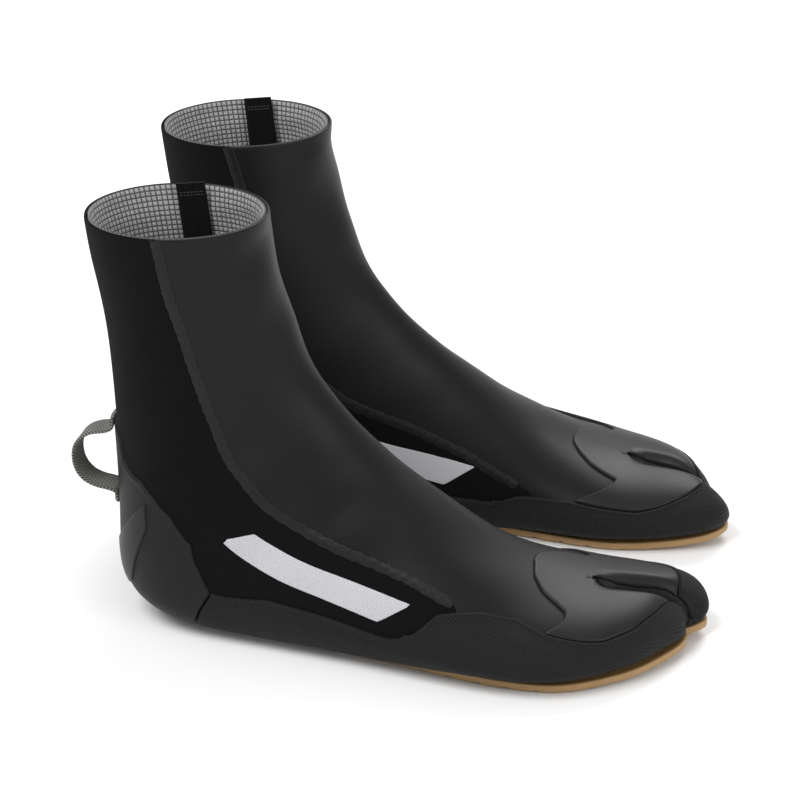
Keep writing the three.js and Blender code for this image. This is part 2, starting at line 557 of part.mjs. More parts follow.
// Pull loop of webbing behind the heel, sewn flat to the counter at both ends.
function heelLoop() {
  const rear = (z) => {
    let lo = 11;
    let hi = TOP;
    for (let i = 0; i < 40; i++) {
      const m = (lo + hi) / 2;
      if (point(m, 2, OVER + COUNTER).z < z) lo = m;
      else hi = m;
    }
    return point(lo, 2, OVER + COUNTER).x;
  };
  const wide = (shape, width) => {
    const g = new THREE.ExtrudeGeometry(shape, { depth: width, bevelEnabled: false, steps: 1 });
    g.rotateX(Math.PI / 2);
    g.translate(0, width / 2, 0);
    return g;
  };
  const end = 4; // half height of a sewn end
  const back = (z) => rear(z) - GAP - 0.25;
  const path = new THREE.CatmullRomCurve3([
    [back(LOOP_TOP + end), LOOP_TOP + end], [back(LOOP_TOP), LOOP_TOP],
    [back(LOOP_TOP - end) - 1.5, LOOP_TOP - end + 1],
    [back(LOOP_TOP) - 0.62 * LOOP_REACH, LOOP_TOP - 7], [back(LOOP_TOP) - LOOP_REACH, LOOP_TOP - 19],
    [back(LOOP_TOP) - 0.8 * LOOP_REACH, LOOP_LOW + 5.5],
    [back(LOOP_LOW + end) - 3.2, LOOP_LOW + 1.5],
    [back(LOOP_LOW), LOOP_LOW - 1], [back(LOOP_LOW - end), LOOP_LOW - end],
  ].map(([x, z]) => new THREE.Vector3(x, 0, z)), false, "centripetal");
  const count = 30;
  const inner = [];
  const outer = [];
  for (let i = 0; i <= count; i++) {
    const p = path.getPointAt(i / count);
    const t = path.getTangentAt(i / count);
    inner.push(new THREE.Vector2(p.x, p.z));
    outer.push(new THREE.Vector2(p.x + t.z * LOOP_THICK, p.z - t.x * LOOP_THICK));
  }
  const loop = wide(new THREE.Shape([...inner, ...outer.reverse()]), LOOP_WIDTH);
  const tacks = [LOOP_TOP + 1.5, LOOP_LOW - 2.2].map((z) => {
    const x = back(z) - LOOP_THICK - GAP - 0.4;
    const lean = (back(z + 2) - back(z - 2)) / 4;
    const g = new THREE.BoxGeometry(TACK, LOOP_WIDTH - 2, 2.6);
    g.rotateY(Math.atan(lean));
    g.translate(x - TACK / 2, 0, z);
    return g;
  });
  return { loop, tacks };
}
// Webbing tab inside the cuff: an anchor sewn under the rim and a free end that hinges below it.
function innerTab(side) {
  const angle = (side < 0 ? seam.lateral : seam.medial)(TOP);
  const at = (s, a) => point(s, uOf(s, side, a), LINING_IN);
  const rim = at(TOP, angle);
  const below = at(TOP - 0.5, angle);
  const down = below.clone().sub(rim).normalize();
  const round = at(TOP - 0.3, angle - 6).sub(at(TOP - 0.3, angle + 6));
  round.addScaledVector(down, -round.dot(down)).normalize();
  const inward = down.clone().cross(round).normalize();
  if (inward.y * side > 0) inward.negate();
  let stand = 0; // how far the curved wall bulges in behind the flat tab
  for (const s of steps(TOP, TOP - 2.6, 14))
    for (const da of steps(-16, 16, 16)) {
      const d = at(s, angle + da).sub(rim);
      if (Math.abs(d.dot(round)) < TAB_WIDTH / 2 + 1 && d.dot(down) < TAB_STITCH + TAB_DROP + 2)
        stand = Math.max(stand, d.dot(inward));
    }
  const block = (width, from, to, near, far) => {
    const g = new THREE.BoxGeometry(width, far - near, to - from);
    g.translate(0, 0, (from + to) / 2);
    const dirs = new THREE.Matrix4().makeBasis(round, inward, down);
    g.translate(0, (near + far) / 2, 0);
    g.applyMatrix4(dirs.setPosition(rim));
    return dirs.determinant() < 0 ? solidFlip(g) : g;
  };
  const whole = (back) => solidOf(block(TAB_WIDTH, -3, TAB_STITCH + TAB_DROP, back, back + 1));
  while (whole(stand).intersect(liningLayer).volume() > 0) stand += 0.1;
  stand += GAP;
  const face = stand + TAB_THICK;
  const hinge = rim.clone().addScaledVector(down, TAB_STITCH).addScaledVector(inward, face);
  return {
    tab: block(TAB_WIDTH, TAB_STITCH, TAB_STITCH + TAB_DROP, stand, face),
    anchor: block(TAB_WIDTH, -3, TAB_STITCH - GAP, stand, face),
    stitch: block(TAB_WIDTH - 3, 1.5, 3.3, face + GAP, face + GAP + 0.5),
    hinge, axis: round,
  };
}
function solidFlip(g) {
  const n = g.toNonIndexed();
  const a = n.attributes.position.array;
  for (let i = 0; i < a.length; i += 9)
    for (let k = 0; k < 3; k++) [a[i + 3 + k], a[i + 6 + k]] = [a[i + 6 + k], a[i + 3 + k]];
  return n;
}

// ---------------------------------------------------------------- the two boots
const LOOK = {
  rubber: [0x2a2a2b, 0.62], smooth: [0x2e2e30, 0.42], jersey: [0x191718, 0.9],
  lining: [0xa8a8a4, 0.95], gum: [0x9c7a4e, 0.6], film: [0xd2d2d4, 0.5], webbing: [0x55554f, 0.85],
  black: [0x0c0c0c, 0.9], foam: [0x3a3f45, 0.95], thread: [0x9a9a98, 0.8],
};
const look = (name) => new THREE.MeshStandardMaterial({
  color: LOOK[name][0], roughness: LOOK[name][1], metalness: 0 });

const loop = heelLoop();
// Both tabs hang on the +Y wall: the inner side of the right boot, the outer side of the left.
const tabs = { right: innerTab(1), left: innerTab(-1) };
const PIECES = [];
const add = (name, made, finish) =>
  PIECES.push([name, made.getMesh ? geometryOf(made) : made, finish]);
add("outsole", outsole(), "gum");
for (const [name, made] of Object.entries(neoprenePanels()))
  add(name, made, name === "front_panel" ? "smooth" : "jersey");
for (const [name, made] of Object.entries(overlays()))
  add(name, made, { toe_cap: "smooth", slit_tack: "thread", toe_gusset: "black" }[name] || "rubber");
for (const [name, made] of Object.entries(trims()))
  add(name, made, name.startsWith("flash") ? "film" : "rubber");
add("lining", liningLayer, "lining");
add("footbed", footbed(), "foam");
add("heel_loop", loop.loop, "webbing");
add("loop_tack_top", loop.tacks[0], "black");
add("loop_tack_low", loop.tacks[1], "black");

function boot(prefix) {
  const group = new THREE.Group();
  for (const [name, geometry, finish] of PIECES) {
    const mesh = new THREE.Mesh(geometry, look(finish));
    mesh.name = prefix + "_" + name;
    group.add(mesh);
  }
  const own = tabs[prefix];
  for (const [name, geometry, finish] of [["inner_tab", own.tab, "black"],
    ["tab_anchor", own.anchor, "black"], ["tab_stitch", own.stitch, "thread"]]) {
    const mesh = new THREE.Mesh(geometry, look(finish));
    mesh.name = prefix + "_" + name;
    group.add(mesh);
  }
  return group;
}
const pair = new THREE.Group();
const right = boot("right");
const left = boot("left");
left.scale.y = -1;
left.rotation.z = PAIR_TURN * RAD;
left.position.set(PAIR_SHIFT, PAIR_SPACING, 0);
pair.add(right, left);

// The pair stands with the middle of its bounding box over the origin.
pair.updateMatrixWorld(true);
const box = new THREE.Box3().setFromObject(pair, true);
const shift = new THREE.Vector3((box.min.x + box.max.x) / 2, (box.min.y + box.max.y) / 2, box.min.z);
right.position.sub(shift);
left.position.sub(shift);
pair.userData.tabHinge = { right: tabs.right.hinge.toArray(), left: tabs.left.hinge.toArray() };
pair.userData.tabAxis = { right: tabs.right.axis.toArray(), left: tabs.left.axis.toArray() };
pair.userData.shift = shift.toArray();

export default pair;
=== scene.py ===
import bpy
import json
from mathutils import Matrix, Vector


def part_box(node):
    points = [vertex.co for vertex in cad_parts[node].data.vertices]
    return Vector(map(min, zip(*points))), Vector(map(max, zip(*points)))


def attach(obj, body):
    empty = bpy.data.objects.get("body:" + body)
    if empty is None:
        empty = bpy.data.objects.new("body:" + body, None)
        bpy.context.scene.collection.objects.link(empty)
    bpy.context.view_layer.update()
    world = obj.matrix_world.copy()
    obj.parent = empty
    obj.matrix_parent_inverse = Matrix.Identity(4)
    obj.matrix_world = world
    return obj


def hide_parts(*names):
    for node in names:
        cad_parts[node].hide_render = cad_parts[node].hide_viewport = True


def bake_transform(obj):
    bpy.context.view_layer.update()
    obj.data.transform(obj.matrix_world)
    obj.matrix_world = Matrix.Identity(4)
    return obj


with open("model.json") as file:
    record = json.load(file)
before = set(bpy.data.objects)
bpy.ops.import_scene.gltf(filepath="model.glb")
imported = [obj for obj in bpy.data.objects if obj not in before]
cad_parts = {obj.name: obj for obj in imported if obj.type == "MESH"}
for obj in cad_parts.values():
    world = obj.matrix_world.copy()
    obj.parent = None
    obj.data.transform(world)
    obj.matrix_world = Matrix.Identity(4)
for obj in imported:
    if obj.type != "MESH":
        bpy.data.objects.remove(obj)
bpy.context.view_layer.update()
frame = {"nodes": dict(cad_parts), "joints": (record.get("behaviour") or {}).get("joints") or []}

# %% Tools for the whole file
import json
import math

import bpy
import numpy as np
from mathutils import Matrix, Vector
from mathutils.kdtree import KDTree

MM = 0.001  # the boots are worked out in millimetres, and Blender's unit is the metre

# %% [markdown]
# ## The last
#
# A shoemaker's last is the solid foot that a boot is built on. Here it is a fan of section planes:
# they stand upright at the toes, lean back over the instep and lie level at the cuff. A modeller
# could push a box about by hand until it looks like a boot, but a table of sections is measured,
# and every layer of the boot can be made from it as a distance from the last.
#
# Each row holds the top point (x, z), the bottom point (x, z), the middle y, the reach to the
# outer side (x, y), the reach to the inner side (x, y), the height of the widest point as a
# share, and how square the section is above and below it.
# %% The sections of the last
STATIONS = np.array([
    [277.0, 13.5, 275.5, 9.0, 13.5, -1.0, 3.0, 1.5, 2.8, 0.45, 2.0, 2.0],
    [271.0, 22.5, 274.0, 8.2, 12.0, 2.5, 12.0, 11.5, 12.0, 0.42, 2.1, 2.4],
    [263.5, 29.0, 266.0, 7.2, 10.0, 2.0, 26.0, 16.0, 24.5, 0.40, 2.2, 2.8],
    [255.5, 31.5, 256.0, 6.4, 7.5, 0.0, 38.5, 14.0, 34.5, 0.38, 2.2, 3.2],
    [245.0, 32.5, 243.0, 5.8, 5.2, -3.0, 48.5, 7.0, 41.5, 0.36, 2.2, 3.6],
    [232.0, 34.0, 228.0, 5.4, 3.5, -4.0, 55.0, -1.0, 45.0, 0.35, 2.15, 4.0],
    [210.5, 40.0, 204.0, 5.2, 2.0, -2.0, 57.5, -1.0, 44.0, 0.34, 2.1, 4.0],
    [186.0, 52.0, 173.0, 5.2, 1.0, 0.0, 54.5, 0.0, 38.0, 0.33, 2.05, 4.0],
    [163.5, 69.0, 135.0, 5.2, 1.0, 0.0, 48.5, 0.0, 33.5, 0.33, 2.0, 3.8],
    [142.0, 86.0, 91.0, 5.2, 1.0, 0.0, 42.5, 0.0, 31.5, 0.33, 2.0, 3.4],
    [122.5, 104.0, 43.0, 6.0, 1.0, 0.0, 37.5, 0.0, 32.5, 0.36, 2.0, 2.9],
    [106.0, 124.5, 11.5, 16.0, 0.5, 0.0, 35.5, 0.0, 33.5, 0.43, 2.0, 2.3],
    [94.5, 148.0, 7.0, 50.0, 0.0, 0.0, 35.2, 0.0, 34.8, 0.48, 2.0, 2.0],
    [88.0, 172.5, 7.0, 110.0, -0.5, 0.0, 36.5, 0.0, 36.0, 0.50, 2.0, 2.0],
    [84.0, 192.0, 3.5, 160.0, -2.0, 0.0, 37.6, 0.0, 37.3, 0.50, 2.0, 2.0],
    [83.0, 207.0, -2.0, 206.0, -3.0, 0.0, 38.2, 0.0, 37.8, 0.50, 2.0, 2.0],
])
TOP = len(STATIONS) - 1  # the cuff's rim


def natural_spline(rows):
    """Second derivatives of a natural cubic spline through every column of rows."""
    n = len(rows)
    system = np.eye(n)
    right = np.zeros_like(rows)
    for i in range(1, n - 1):
        system[i, i - 1:i + 2] = 1, 4, 1
        right[i] = 6 * (rows[i + 1] - 2 * rows[i] + rows[i - 1])
    return np.linalg.solve(system, right)


BEND = natural_spline(STATIONS)


def section(s):
    """The twelve sizes of the section at station s, which may lie between two rows."""
    i = np.clip(np.floor(s).astype(int), 0, TOP - 1)
    t = (s - i)[..., None]
    a = 1 - t
    return (a * STATIONS[i] + t * STATIONS[i + 1]
            + ((a**3 - a) * BEND[i] + (t**3 - t) * BEND[i + 1]) / 6)


print("last:", len(STATIONS), "sections")

# %% [markdown]
# ## Points and normals of the last
#
# A place on the last has two numbers. The station s runs from 0 at the toe tip to 15 at the rim.
# The second runs round the section. For seams it is an angle, 0 on top of the foot and 180 under
# it, minus on the outer side. For meshes it is u: 0 is the floor of the toe slit, up to 1 its
# wall and shoulder, and 1 to 2 the rest of the way round.
# %% The smooth last
def last_point(s, angle):
    """Points of the last without its toe slit, for signed angles in radians."""
    dx, dz, bx, bz, cy, lx, lw, mx, mw, tw, n1, n2 = np.moveaxis(section(s), -1, 0)
    c = np.cos(angle)
    n = np.where(c >= 0, n1, n2)
    up = np.sign(c) * np.abs(c) ** (2 / n) * np.where(c >= 0, 1 - tw, tw)
    out = np.abs(np.sin(angle)) ** (2 / n)
    outer = angle < 0
    return np.stack([
        bx + (tw + up) * (dx - bx) + out * np.where(outer, lx, mx),
        cy + out * np.where(outer, -lw, mw),
        bz + (tw + up) * (dz - bz),
    ], -1)


def last_normal(s, angle):
    """Outward normals, from small steps along and round the last."""
    side = np.where(angle < 0, -1.0, 1.0)
    a = np.clip(np.abs(angle), 0.02, math.pi - 0.02)
    ahead = np.where(s > TOP - 0.02, s, s + 0.01)
    behind = np.where(s < 0.02, s, s - 0.01)
    along = last_point(ahead, side * a) - last_point(behind, side * a)
    round_ = last_point(s, side * (a + 0.01)) - last_point(s, side * (a - 0.01))
    n = np.cross(along, round_) * -side[..., None]
    ridge = np.minimum(np.abs(angle), math.pi - np.abs(angle)) / 0.02
    n[..., 1] *= np.clip(ridge, 0, 1)
    return n / np.linalg.norm(n, axis=-1, keepdims=True)


# %% The toe slit
SLIT_GAP, SLIT_ROUND, SLIT_WEB = 5.2, 8.0, 10.5
SLIT_START = 4.85  # station where the slit's floor begins to drop
SLIT_CLOSED = 4.95  # station behind which the toe cap is whole


def slit_depth(s):
    """How far the floor of the slit lies below the top of the toes."""
    share = np.interp(s, [0, 0.8, 1.6, 3.4, 4.2, SLIT_START], [0.35, 0.62, 1, 1, 0.75, 0])
    r = section(s)
    height = r[..., 1] - r[..., 3]
    return np.maximum(0, share * np.where(s < 1.6, height * 0.62, height - SLIT_WEB))


def side_reach(s, outer):
    r = section(s)
    return np.where(outer, np.hypot(r[..., 5], r[..., 6]), np.hypot(r[..., 7], r[..., 8]))


def angle_at(s, outer, distance):
    """The angle at which the section is this far from its middle."""
    share = np.clip(distance / side_reach(s, outer), 0, 1)
    return np.arcsin(share ** (section(s)[..., 10] / 2))


def shoulder(s, outer):
    return np.minimum(SLIT_GAP / 2 + SLIT_ROUND, 0.6 * side_reach(s, outer))


def angle_of(s, u, offset=0.0):
    """The signed angle of u, and how far down the slit's wall it lies."""
    outer = u < 0
    v = np.abs(u)
    end = shoulder(s, outer)
    edge = angle_at(s, outer, end)
    half = np.clip(SLIT_GAP / 2 - offset, 0.05, end - 0.1) * np.minimum(1, end / 6)
    turn = np.clip((v - 0.2) / 0.8, 0, 1) * (math.pi / 2)
    away = np.where(v < 0.2, half * (v / 0.2), half + (end - half) * (1 - np.cos(turn)))
    angle = np.where(v > 1, edge + (v - 1) * (math.pi - edge), angle_at(s, outer, away))
    drop = np.where(v > 1, 0, slit_depth(s) * (1 - np.sin(turn)))
    return np.where(outer, -angle, angle), drop


def u_of(s, degrees):
    """The u of a signed plain angle in degrees."""
    outer = degrees < 0
    a = np.radians(np.abs(degrees))
    end = shoulder(s, outer)
    edge = angle_at(s, outer, end)
    beyond = 1 + (a - edge) / (math.pi - edge)
    d = np.sin(np.minimum(a, math.pi / 2)) ** (2 / section(s)[..., 10]) * side_reach(s, outer)
    half = SLIT_GAP / 2
    turn = np.arccos(np.clip(1 - (d - half) / (end - half), 0, 1))
    inside = np.clip(0.2 + 0.8 * turn / (math.pi / 2), 0, 1)
    return np.where(outer, -1, 1) * np.where(a >= edge, beyond, inside)


# %% [markdown]
# ## Soft relief
#
# Stretched neoprene is never quite smooth. It dimples where panels meet, gathers at the front of
# the ankle where the boot bends, and waves a little up the shaft. These are real shapes a few
# tenths of a millimetre high, so they belong in the mesh, and one function gives them to every
# layer, so the layers stay nested. Sines with fixed phases give the same result each run.
# %% Relief and the skin of every layer
def relief(s, degrees):
    """Height in millimetres of the soft waves of the upper."""
    a = np.abs(degrees)
    lean = 0.85 + 0.85 * np.sin(np.radians(degrees))
    bend = np.exp(-((s - 9.9) / 1.3) ** 2) * np.exp(-((a - 62) / 34) ** 2)
    folds = 0.75 * bend * np.sin(5.4 * (s - 0.011 * a) + lean)
    shaft = np.clip((s - 10.8) / 1.5, 0, 1) * np.clip((TOP + 0.15 - s) / 0.7, 0, 1)
    waves = 0.55 * shaft * np.sin(2.1 * s + 2 * np.radians(degrees) + lean)
    waves += 0.35 * shaft * np.sin(3.7 * s - 3 * np.radians(degrees) + 1.1)
    instep = np.exp(-((s - 7.2) / 1.6) ** 2) * np.exp(-((a - 45) / 30) ** 2)
    return folds + waves + 0.45 * instep * np.sin(3.1 * s + 3 * np.radians(degrees) + lean)


TIP = 0.4  # stations past 0 that close the toe tip


def skin(s, u, offset):
    """Points at a distance from the last, in boot millimetres."""
    s, u, offset = np.broadcast_arrays(np.asarray(s, float), np.asarray(u, float),
                                       np.asarray(offset, float))
    on = np.maximum(s, 0)
    angle, drop = angle_of(on, u, offset)
    p = last_point(on, angle)
    p = p + last_normal(on, angle) * (offset + relief(on, np.degrees(angle)))[..., None]
    p[..., 2] -= drop
    tip = s < 0
    if tip.any():
        t = np.clip(-s[tip] / TIP, 0, 1)[..., None]
        zero = np.zeros(1)
        middle = (last_point(zero, zero) + last_point(zero, zero + math.pi))[0] / 2
        nose = np.array([1.4, 0, 0]) * t + np.array([1.0, 0, 0]) * t * offset[tip][..., None]
        p[tip] = middle + (p[tip] - middle) * np.sqrt(1 - t * t) + nose
    return p


probe = skin(np.array([5.0]), np.array([2.0]), 0.0)[0]
print("bottom of the last at the ball of the foot, mm:", probe.round(1))

# %% [markdown]
# ## A fine grid over the last
#
# Every glued piece is cut from this one grid, the way a maker cuts patterns from one wrapped
# sheet. The grid also carries lengths in millimetres along and round the boot. They become the
# UV map, so a weave keeps its real size wherever it is used.
# %% The grid
ROWS = np.concatenate([
    [-0.4, -0.38, -0.33, -0.25, -0.15, -0.06], np.linspace(0, 5, 100, endpoint=False),
    np.linspace(5, 14.9, 330, endpoint=False), [14.9, 14.93, 14.95, 14.965, 14.98, 14.99, 15.0],
])
HALF = np.concatenate([np.linspace(0, 0.2, 4)[:-1], np.linspace(0.2, 1, 15)[:-1],
                       np.linspace(1, 2, 96)])
ROUND = np.concatenate([-HALF[::-1], HALF[1:]])


class Sheet:
    """A triangle sheet from a grid of points, with named fields that it can be cut along."""

    def __init__(self, place, **fields):
        self.place = place.reshape(-1, 3)
        self.fields = {k: v.ravel() for k, v in fields.items()}
        a = np.arange(len(self.place)).reshape(place.shape[:2])
        p, q, r, t = a[:-1, :-1], a[1:, :-1], a[1:, 1:], a[:-1, 1:]
        self.tris = np.concatenate([np.stack([p, t, r], -1).reshape(-1, 3),
                                    np.stack([p, r, q], -1).reshape(-1, 3)])

    def copy(self):
        other = object.__new__(Sheet)
        other.fields = {k: v.copy() for k, v in self.fields.items()}
        other.tris = self.tris.copy()
        other.place = self.place
        return other

    def keep(self, wanted):
        self.tris = self.tris[wanted]

    def split(self, name, level):
        """Cuts every triangle that the field crosses at the level, so the line is in the mesh."""
        f = self.fields[name] - level
        f = np.where(np.abs(f) < 1e-5, 1e-5, f)
        above = f[self.tris] > 0
        count = above.sum(1)
        mixed = (count == 1) | (count == 2)
        whole, cut = self.tris[~mixed], self.tris[mixed]
        if not len(cut):
            return
        odd_above = (count[mixed] == 1)[:, None]
        lone = np.argmax(above[mixed] == odd_above, 1)
        turn = (lone[:, None] + np.arange(3)) % 3
        a, b, c = np.take_along_axis(cut, turn, 1).T
        edges = np.sort(np.concatenate([np.stack([a, b], 1), np.stack([a, c], 1)]), 1)
        unique, where = np.unique(edges, axis=0, return_inverse=True)
        where = where.ravel()
        i, j = unique.T
        t = f[i] / (f[i] - f[j])
        first = len(self.fields["s"])
        for key, value in self.fields.items():
            self.fields[key] = np.concatenate([value, value[i] + t * (value[j] - value[i])])
        ab, ac = first + where[:len(a)], first + where[len(a):]
        self.tris = np.concatenate([whole, np.stack([a, ab, ac], 1), np.stack([ab, b, c], 1),
                                    np.stack([ab, c, ac], 1)])


def over_last(rows, round_):
    """A sheet over the last. Its lengths are measured from the toe tip, the top and the sole."""
    s, u = np.meshgrid(rows, round_, indexing="ij")
    place = skin(s, u, 0.0)
    along = np.linalg.norm(np.diff(place, axis=0), axis=-1)
    across = np.linalg.norm(np.diff(place, axis=1), axis=-1)
    v = np.vstack([np.zeros((1, len(round_))), np.cumsum(along, 0)])
    w = np.hstack([np.zeros((len(rows), 1)), np.cumsum(across, 1)])
    w -= w[:, [len(round_) // 2]]
    return Sheet(place, s=s, u=u, along=v, across=w,
                 from_sole=np.where(w > 0, w[:, -1:] - w, w - w[:, :1]),
                 degrees=np.degrees(angle_of(np.maximum(s, 0), u)[0]))


whole_grid = over_last(ROWS, ROUND)
print("grid:", len(whole_grid.place), "points")

# %% [markdown]
# ## From a grid to a real mesh
#
# A piece of sheet has a top, a bottom and walls, so it is a closed body. The helper below takes
# a cut piece of grid and two distances from the last, and joins them. It makes the right boot's
# piece and mirrors it for the left boot, because the two boots are a mirrored pair.
# %% Placing the two boots
PAIR_SPACING, PAIR_SHIFT, PAIR_TURN = 116.0, -2.0, 6.7
loop_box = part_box("right_heel_loop")
heel_datum = np.array([-133.748, (loop_box[0][1] + loop_box[1][1]) / 2 / MM, 0.0])
print("the right heel's datum in the frame, mm:", heel_datum.round(2))


def in_frame(points, boot):
    """Boot millimetres to metres in the frame, for the right or the left boot."""
    p = np.array(points, float)
    if boot == "left":
        t = math.radians(PAIR_TURN)
        p = p * [1, -1, 1]
        p = np.stack([p[..., 0] * math.cos(t) - p[..., 1] * math.sin(t) + PAIR_SHIFT,
                      p[..., 0] * math.sin(t) + p[..., 1] * math.cos(t) + PAIR_SPACING,
                      p[..., 2]], -1)
    return (p + heel_datum) * MM


# %% Mesh makers
FAR = 9.0  # edge length given to pieces that have no worn edge


def mesh_object(name, points, faces, uvs, material, edge, sharp):
    """An object from points in metres. uvs holds one pair for each face corner."""
    mesh = bpy.data.meshes.new(name)
    mesh.from_pydata(points.tolist(), [], faces.tolist())
    layer = mesh.uv_layers.new(name="skin_mm")
    layer.data.foreach_set("uv", np.asarray(uvs, np.float32).ravel())
    attribute = mesh.attributes.new("edge_mm", "FLOAT", "POINT")
    attribute.data.foreach_set("value", np.asarray(edge, np.float32))
    mesh.validate()
    mesh.shade_smooth()
    mesh.set_sharp_from_angle(angle=math.radians(sharp))
    mesh.materials.append(material)
    piece = bpy.data.objects.new(name, mesh)
    bpy.context.scene.collection.objects.link(piece)
    return piece


def shell(tris, n):
    """Faces of a closed body: the top, the bottom n points further on, and the walls."""
    edges = np.concatenate([tris[:, [0, 1]], tris[:, [1, 2]], tris[:, [2, 0]]])
    code, back = edges[:, 0] * n + edges[:, 1], edges[:, 1] * n + edges[:, 0]
    a, b = edges[~np.isin(code, back)].T
    return np.concatenate([tris, tris[:, ::-1] + n, np.stack([a, a + n, b + n], 1),
                           np.stack([a, b + n, b], 1)])


def real(faces):
    """Which triangles have three different corners."""
    return (faces != np.roll(faces, 1, axis=1)).all(1)


def closed_sheet(sheet, low, high):
    """A cut sheet between two distances from the last: points, faces, UVs and edge lengths."""
    used, tris = np.unique(sheet.tris, return_inverse=True)
    tris = tris.reshape(-1, 3)
    n = len(used)
    f = {k: v[used] for k, v in sheet.fields.items()}
    low, high = (np.broadcast_to(v, sheet.fields["s"].shape)[used] for v in (low, high))
    points = np.concatenate([skin(f["s"], f["u"], high), skin(f["s"], f["u"], low)])
    uv = np.stack([f["across"], f["along"]], 1)
    # weld the two sides of the grid under the foot before looking for open edges
    keys = np.round(skin(f["s"], f["u"], 0.0) * 500).astype(np.int64)
    _, first, weld = np.unique(keys, axis=0, return_index=True, return_inverse=True)
    welded = first[weld.ravel()][tris]
    good = real(welded)
    welded, tris = welded[good], tris[good]
    faces = shell(welded, n)
    uvs = np.concatenate([uv[tris], uv[tris[:, ::-1]], uv[faces[2 * len(tris):] % n]])
    # walls of no height close on themselves: weld top to bottom there
    to = np.arange(2 * n)
    flat = np.abs(high - low) < 1e-6
    to[n:][flat] = np.arange(n)[flat]
    faces = to[faces]
    good = real(faces)
    kept, faces = np.unique(faces[good], return_inverse=True)
    edge = f.get("d", np.full(n, FAR))
    return points[kept], faces.reshape(-1, 3), uvs[good], np.concatenate([edge, edge])[kept]


def dress(piece, body, replaced):
    """Rides a piece on a body, and hides the CAD nodes that it stands for."""
    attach(piece, body)
    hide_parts(*replaced)
    return piece


def both_boots(name, made, material, nodes, sharp=40):
    """The same piece on the right and the left boot."""
    points, faces, uvs, edge = made
    for boot in ("right", "left"):
        turn = slice(None, None, 1 if boot == "right" else -1)
        piece = mesh_object(boot + "_" + name, in_frame(points, boot), faces[:, turn],
                            uvs[:, turn], material, edge, sharp)
        dress(piece, boot + "_boot", [boot + "_" + n for n in nodes])
    print(name, len(points), "points")


# %% [markdown]
# ## Cutting lines
#
# The pattern lines are written as a maker marks them on the last: at this station, the seam lies
# at this angle. A distance field from such a line does two jobs. Its sign says which side of the
# line a point is on, and its size shapes the edge, so every glued piece gets a rounded edge.
# %% Pattern lines
def smooth_line(points, soft=0.09):
    """A softened line through [x, y] marks."""
    x, y = np.array(points, float).T
    fine = np.linspace(x[0], x[-1], 800)
    values = np.interp(fine, x, y)
    width = max(1, int(soft * 800 / (x[-1] - x[0]) * (1 if x[-1] < 20 else 25)))
    kernel = np.hanning(2 * width + 3)
    padded = np.pad(values, width + 1, mode="edge")
    values = np.convolve(padded, kernel / kernel.sum(), mode="valid")
    return lambda q: np.interp(q, fine, values)


SOLE_EDGE = 141
seam_outer = smooth_line([[6.2, SOLE_EDGE], [6.6, 120], [7, 75], [7.15, 58], [8, 58], [9, 61.5],
                          [10, 63], [11, 65], [12, 71], [13, 80], [14, 85], [TOP, 88]])
seam_inner = smooth_line([[5.6, SOLE_EDGE], [6.1, 120], [6.6, 85], [6.85, 74], [8, 65], [9, 62],
                          [10, 63], [11, 66], [12, 71], [13, 80], [14.4, 90], [TOP, 94]])
rand_outer = smooth_line([[1.15, 8], [2.05, 40], [2.95, 57], [3.8, 63], [4.8, 57], [5.55, 53],
                          [6.1, 47], [6.75, 53], [7.4, 68], [7.6, 88], [7.9, 93], [8.7, 92],
                          [9.45, 93], [10, 104], [11, 104]])
rand_inner = smooth_line([[1.15, 8], [2.05, 28], [2.95, 44], [4.1, 64], [4.55, 69], [5.1, 68],
                          [6, 68], [6.85, 78], [7, 81], [7.25, 90], [8, 92], [9.45, 93],
                          [10, 104], [11, 104]])
cap_rear = smooth_line([[-60, 5.6], [-53, 5.55], [-45, 5.3], [-38, 5.2], [-32, 5.25], [-27, 5.5],
                        [-21, 5.85], [-12, 6.1], [0, 6.22], [8, 6.2], [16, 6.05], [24, 5.8],
                        [29, 5.5], [33, 5.15], [40, 5.25], [50, 5.5], [60, 5.8], [68, 6],
                        [75, 6.1]])
counter_top = smooth_line([[94, 10.8], [96, 11.05], [101, 11.45], [114, 11.95], [123, 12.2],
                           [144, 12.5], [148, 12.7], [180, 12.9]])
counter_front = smooth_line([[94, 10.8], [98, 10.35], [104, 10.05], [141, 9.95], [180, 9.95]])
strip_top = smooth_line([[118, 11.93], [130, 11.93], [160, 11.78], [180, 11.7]])
strip_low = smooth_line([[118, 11.62], [126, 11.47], [140, 11.17], [147, 11.05], [180, 11.05]])


def on_side(outer_line, inner_line, s, degrees):
    return np.where(degrees < 0, outer_line(s), inner_line(s))


def slit_edge(s, width=0.6):
    """Half width of the slit's opening in u, closing to a point at its rear end."""
    return width * np.sqrt(np.clip((SLIT_CLOSED - s) / 0.3, 0, 1))


# %% Distance fields
def lengths(path):
    """Length along a path at each of its points."""
    return np.concatenate([[0], np.cumsum(np.linalg.norm(np.diff(path, axis=0), axis=1))])


def resample(path, places):
    """Points of a path at the given lengths along it."""
    length = lengths(path)
    return np.stack([np.interp(places, length, path[:, k]) for k in range(path.shape[1])], 1)


def dense(s, degrees, step=0.35):
    """A line of marks on the last as closely spaced points in boot millimetres."""
    s, degrees = np.asarray(s, float), np.asarray(degrees, float)
    p = skin(s, u_of(s, degrees), 0.0)
    total = lengths(p)[-1]
    return resample(p, np.linspace(0, total, max(2, int(total / step))))


def distance_to(lines, sheet, only):
    """Distance in millimetres from the chosen grid points to the nearest line."""
    points = np.concatenate(lines)
    tree = KDTree(len(points))
    for i, p in enumerate(points):
        tree.insert(p, i)
    tree.balance()
    d = np.full(len(sheet.place), 60.0)
    for i in np.flatnonzero(only):
        d[i] = tree.find(sheet.place[i])[2]
    return d


